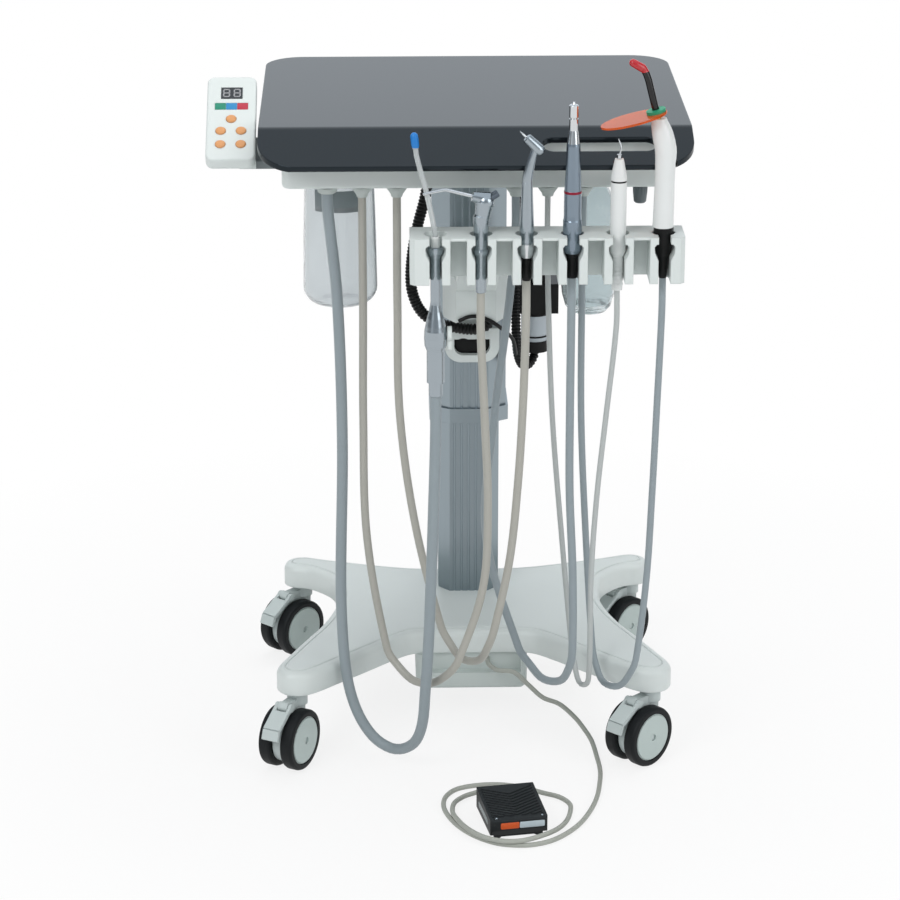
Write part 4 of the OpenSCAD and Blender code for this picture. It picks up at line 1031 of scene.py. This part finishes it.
@dataclass
class ControlPanel:
    """Prints and digits of the tilted control panel.

    Attributes:
        corner: Middle of the panel's front top edge in the part's own millimetres.
        tilt: Degrees that the panel leans back.
        bar: Left edge, front edge, right edge and back edge of the colour bar in its recess.
        digit_at: Left edges of the two digits.
        digit_y: Front edge of the digits.
        digit_size: Width and height of a digit and thickness of its segments.
    """

    corner: Point = (-280.0, -150.0, 752.0)
    tilt: float = 32.0
    bar: tuple[float, float, float, float] = (-19.2, 79.7, 19.2, 90.3)
    digit_at: Pair = (-10.3, 1.9)
    digit_y: float = 99.5
    digit_size: Point = (8.4, 13.0, 1.7)

    def put(self, x: float, y: float, z: float) -> Vector:
        """Turn the panel's local millimetres into the frame's metres."""
        a = math.radians(self.tilt)
        return place(self.corner[0] + x, self.corner[1] + y * math.cos(a) - z * math.sin(a),
                     self.corner[2] + y * math.sin(a) + z * math.cos(a))

    def colour_bar(self) -> None:
        """Lay the three printed fields into their recess."""
        x0, y0, x1, y1 = self.bar
        third, gap = (x1 - x0) / 3, 0.15
        for i, finish in enumerate((FILM_GREEN, FILM_BLUE, FILM_RED)):
            shape = round_outline(x0 + third * i + gap, y0, x0 + third * (i + 1) - gap, y1, 0.8)
            field = slab(f"panel_field_{i + 1}", shape, -0.5, -0.05, self.put, 0.25)
            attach(dress(field, finish), "lift")

    def digits(self) -> None:
        """Set the seven segments of both digits on the window."""
        w, h, t = self.digit_size
        y, step = self.digit_y, (h - t) / 2
        for d, x in enumerate(self.digit_at):
            bars = [(x + t * 0.6, y + k * step, x + w - t * 0.6, y + k * step + t) for k in range(3)]
            bars += [(side, y + t * 0.75 + m * step, side + t, y + t * 0.25 + (m + 1) * step)
                     for side in (x, x + w - t) for m in (0, 1)]
            for i, edges in enumerate(bars):
                shape = round_outline(*edges, 0.5, 2)
                part = slab(f"display_digit_{d + 1}_{i + 1}", shape, 0.1, 0.42, self.put, 0.15)
                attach(dress(part, DIGIT_PALE), "lift")

    def build(self) -> None:
        """Make every print of the panel."""
        self.colour_bar()
        self.digits()
        log.info("panel prints laid")


@dataclass
class FootPedal:
    """Films and screw heads on the foot pedal.

    Attributes:
        at: The pedal's middle on the floor in the part's own millimetres.
        turn: Degrees that it is turned by.
        width: Width of its plate.
        length: Length of its plate.
        top: Height of the plate's top at its middle.
        rise: How much higher the top is at its back edge.
        films: Lower and upper edge of the films on the front skirt.
    """

    at: Pair = (38.5, -330.0)
    turn: float = 10.0
    width: float = 68.0
    length: float = 84.0
    top: float = 28.0
    rise: float = 3.0
    films: Pair = (13.6, 21.4)

    def put(self, x: float, y: float, z: float) -> Vector:
        """Turn the pedal's local millimetres into the frame's metres."""
        sine, cosine = math.sin(math.radians(self.turn)), math.cos(math.radians(self.turn))
        return place(self.at[0] + x * cosine - y * sine, self.at[1] + x * sine + y * cosine, z)

    def front(self, x: float, y: float, z: float) -> Vector:
        """Turn millimetres on the front skirt, to the right, up and out, into the frame's metres."""
        return self.put(x, -self.length / 2 - z, y)

    def left(self, x: float, y: float, z: float) -> Vector:
        """Turn millimetres on the left skirt, to the front, up and out, into the frame's metres."""
        return self.put(-self.width / 2 - z, -x, y)

    def screw(self, name: str, x: float, y: float) -> Piece:
        """Sink a small domed screw head into the plate's top."""
        top = self.top + self.rise * y / (self.length / 2)
        head = ((-0.6, 1.6), (0.15, 1.6), (0.5, 1.35), (0.66, 0.9), (0.4, 0.7), (0.38, 0.3))
        return turned(name, self.put, x, y, [(top + z, r) for z, r in head], 16, 35)

    def build(self) -> None:
        """Make the films and the screws."""
        w = self.width / 2
        low, high = self.films
        orange = round_outline(-w + 12, low, -w + 34, high, 1.4)
        pale = round_outline(-w + 34.4, low, w - 4, high, 1.4)
        side = round_outline(-26, 12.5, 26, 19.5, 2.4)
        edge = -self.length / 2 + 5.5
        pieces = (
            (slab("pedal_film_orange", orange, -0.1, 0.25, self.front), FILM_ORANGE),
            (slab("pedal_film_pale", pale, -0.1, 0.25, self.front), FILM_PALE),
            (slab("pedal_film_side", side, -0.1, 0.02, self.left), FILM_STEEL),
            (self.screw("pedal_screw_left", -w + 8, edge), SATIN_CHROME),
            (self.screw("pedal_screw_right", w - 6, edge), SATIN_CHROME),
        )
        for piece, finish in pieces:
            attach(dress(piece, finish), "pedal_plate")
        log.info("pedal trim laid")


@dataclass
class SuctionBottle:
    """Bare label on the front of the suction bottle.

    Attributes:
        axis: Its axis in the part's own millimetres.
        radius: Outer radius near the label.
        low: Lower edge of the label.
        high: Upper edge of the label.
        facing: Direction that the label's middle faces, in degrees.
        half_turn: Half of the label's width in degrees.
        steps: Number of strips that the label is made of.
    """

    axis: Pair = (-157.0, -50.0)
    radius: float = 41.4
    low: float = 672.0
    high: float = 698.0
    facing: float = -94.0
    half_turn: float = 39.0
    steps: int = 24

    def build(self) -> None:
        """Wrap the label round the bottle."""
        rings = []
        for k in range(self.steps + 1):
            a = math.radians(self.facing - self.half_turn + 2 * self.half_turn * k / self.steps)
            edge = 0.0 if 0 < k < self.steps else 0.1
            ring = []
            for z, out in ((self.low, 0.02), (self.low, 0.2 - edge), (self.low + 0.4, 0.25 - edge),
                           (self.high - 0.4, 0.25 - edge), (self.high, 0.2 - edge), (self.high, 0.02)):
                r = self.radius + out
                ring.append(place(self.axis[0] + r * math.cos(a), self.axis[1] + r * math.sin(a), z))
            rings.append(ring)
        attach(dress(loft("suction_bottle_label", rings, 40), LABEL_GREY), "lift")
        log.info("bottle label wrapped")


@dataclass
class CarriedSolids:
    """Finishes of the solids that are shown as they come or with their skin smoothed.

    Attributes:
        turns: Degrees that each caster is turned about its stem.
        trail: Distance from the stem to the axle in millimetres.
        axle_z: Height of the axles.
        tread_from: Radius at which the tread starts.
    """

    turns: tuple[float, ...] = (28.7, 45, 43.5, 45)
    trail: float = 20.5
    axle_z: float = 37.5
    tread_from: float = 29.2

    def casters(self) -> None:
        """Dress the casters; tread and hub cap meet at a radius about each axle."""
        for (corner, (x, y)), turn in zip(STEMS.items(), self.turns):
            sine, cosine = math.sin(math.radians(turn)), math.cos(math.radians(turn))
            hub = (x - self.trail * sine, y - self.trail * cosine, self.axle_z)
            wheel = Banded("twin_wheel_" + corner, (HUB_CAP, TREAD), (self.tread_from,), hub,
                           (cosine, -sine, 0), Cut.ROUND)
            dress_node("wheels_" + corner, wheel)
            dress_node("caster_" + corner, CASTER_NYLON)
            dress_node("brake_" + corner, CASTER_NYLON)

    def simple(self) -> None:
        """Dress three smoothed solids, then those that have one finish."""
        for name, finish, crease in (
            ("base_box", PALE_ABS, 24.0),
            ("suction_tip", Banded("suction_tube_and_tip", (TUBE_CLEAR, TIP_BLUE), (785,)), 60.0),
            ("syringe_nozzle", STEEL, 60.0),
        ):
            dress(smoothed(name, crease), finish)
            frame_slot(name)
        for names, finish in (
            (("casing", "arm_bracket", "ring_handle", "holder_rail"), WHITE_ABS),
            (("column_lower", "column_upper"), ANODISED),
            (("lift_spindle",), TURNED_STEEL),
            (("tray_glass",), BLACK_GLASS),
            (("panel_display",), SMOKED),
            (tuple(f"panel_button_{i}" for i in range(1, 6)), KEY_TAN),
            (("hose_glands",), GLAND_GREY),
            (("suction_bottle",), JAR_CLEAR),
            (("water_bottle",), PET_CLEAR),
            (("flow_knob",), KNOB_GREY),
            (("suction_lever",), WHITE_ABS),
            (("syringe_body",), SATIN_CHROME),
            (("highspeed_bur", "scaler_tip"), STEEL),
            (("syringe_button_air", "syringe_button_water"), KEY_GREY),
            (("light_shield",), SHIELD_ORANGE),
            (("light_button",), BLACK_ACETAL),
            (("pedal_base", "pedal_plate"), PEDAL_ABS),
        ):
            for name in names:
                dress_node(name, finish)

    def banded(self) -> None:
        """Dress the solids that are several pieces pressed together."""
        black, chrome, white, blue = BLACK_ACETAL, SATIN_CHROME, SLEEVE_WHITE, BLUE_ANODISED
        for name, finish in (
            ("panel_body", Banded("panel_and_bracket", (WHITE_ABS, BRACKET_GREY), (-251.2,), axis=(1, 0, 0))),
            ("filter_regulator", Banded("regulator_and_bowl", (black, BOWL_GREY, black, BOWL_GREY, black),
                                        (457, 462, 464, 490))),
            ("suction_handpiece", Banded("suction_valve_and_sleeve", (chrome, white), (669.6,))),
            ("lowspeed_handpiece", Banded("lowspeed_and_ring", (black, blue, RING_RED, blue, BRIGHT_CHROME),
                                          (662, 731.6, 734.4, 789))),
            ("scaler_body", Banded("scaler_and_seal", (white, black, white), (744.3, 746.2))),
        ):
            dress_node(name, finish)
        for name, finish in (
            ("highspeed_handpiece", Banded("highspeed_and_coupler", (black, BRIGHT_CHROME, chrome),
                                           (657, 673.8))),
            ("light_body", Banded("light_and_relief", (black, white), (692.1,))),
            ("light_guide", Banded("guide_and_collars", (RING_GOLD, COLLAR_GREEN, GUIDE_BLACK, TIP_RED),
                                   (10.6, 15.6, 60), (201.8, HANG_Y, 812), (-3.1, 0, 12.2))),
        ):
            dress(smoothed(name, 40), finish)

    def build(self) -> None:
        """Dress every carried-over solid."""
        self.casters()
        self.simple()
        self.banded()


def main() -> None:
    """Build the studio, the cords and every piece, in that order."""
    logging.basicConfig(level=logging.INFO, format="%(message)s")
    Studio().build()
    for cord in CORDS:
        cord.build()
    CarriedSolids().build()
    BaseMoulding().build()
    RingHandle().build()
    RibbedConduits().build()
    ControlPanel().build()
    SuctionBottle().build()
    FootPedal().build()


if __name__ == "__main__":
    main()
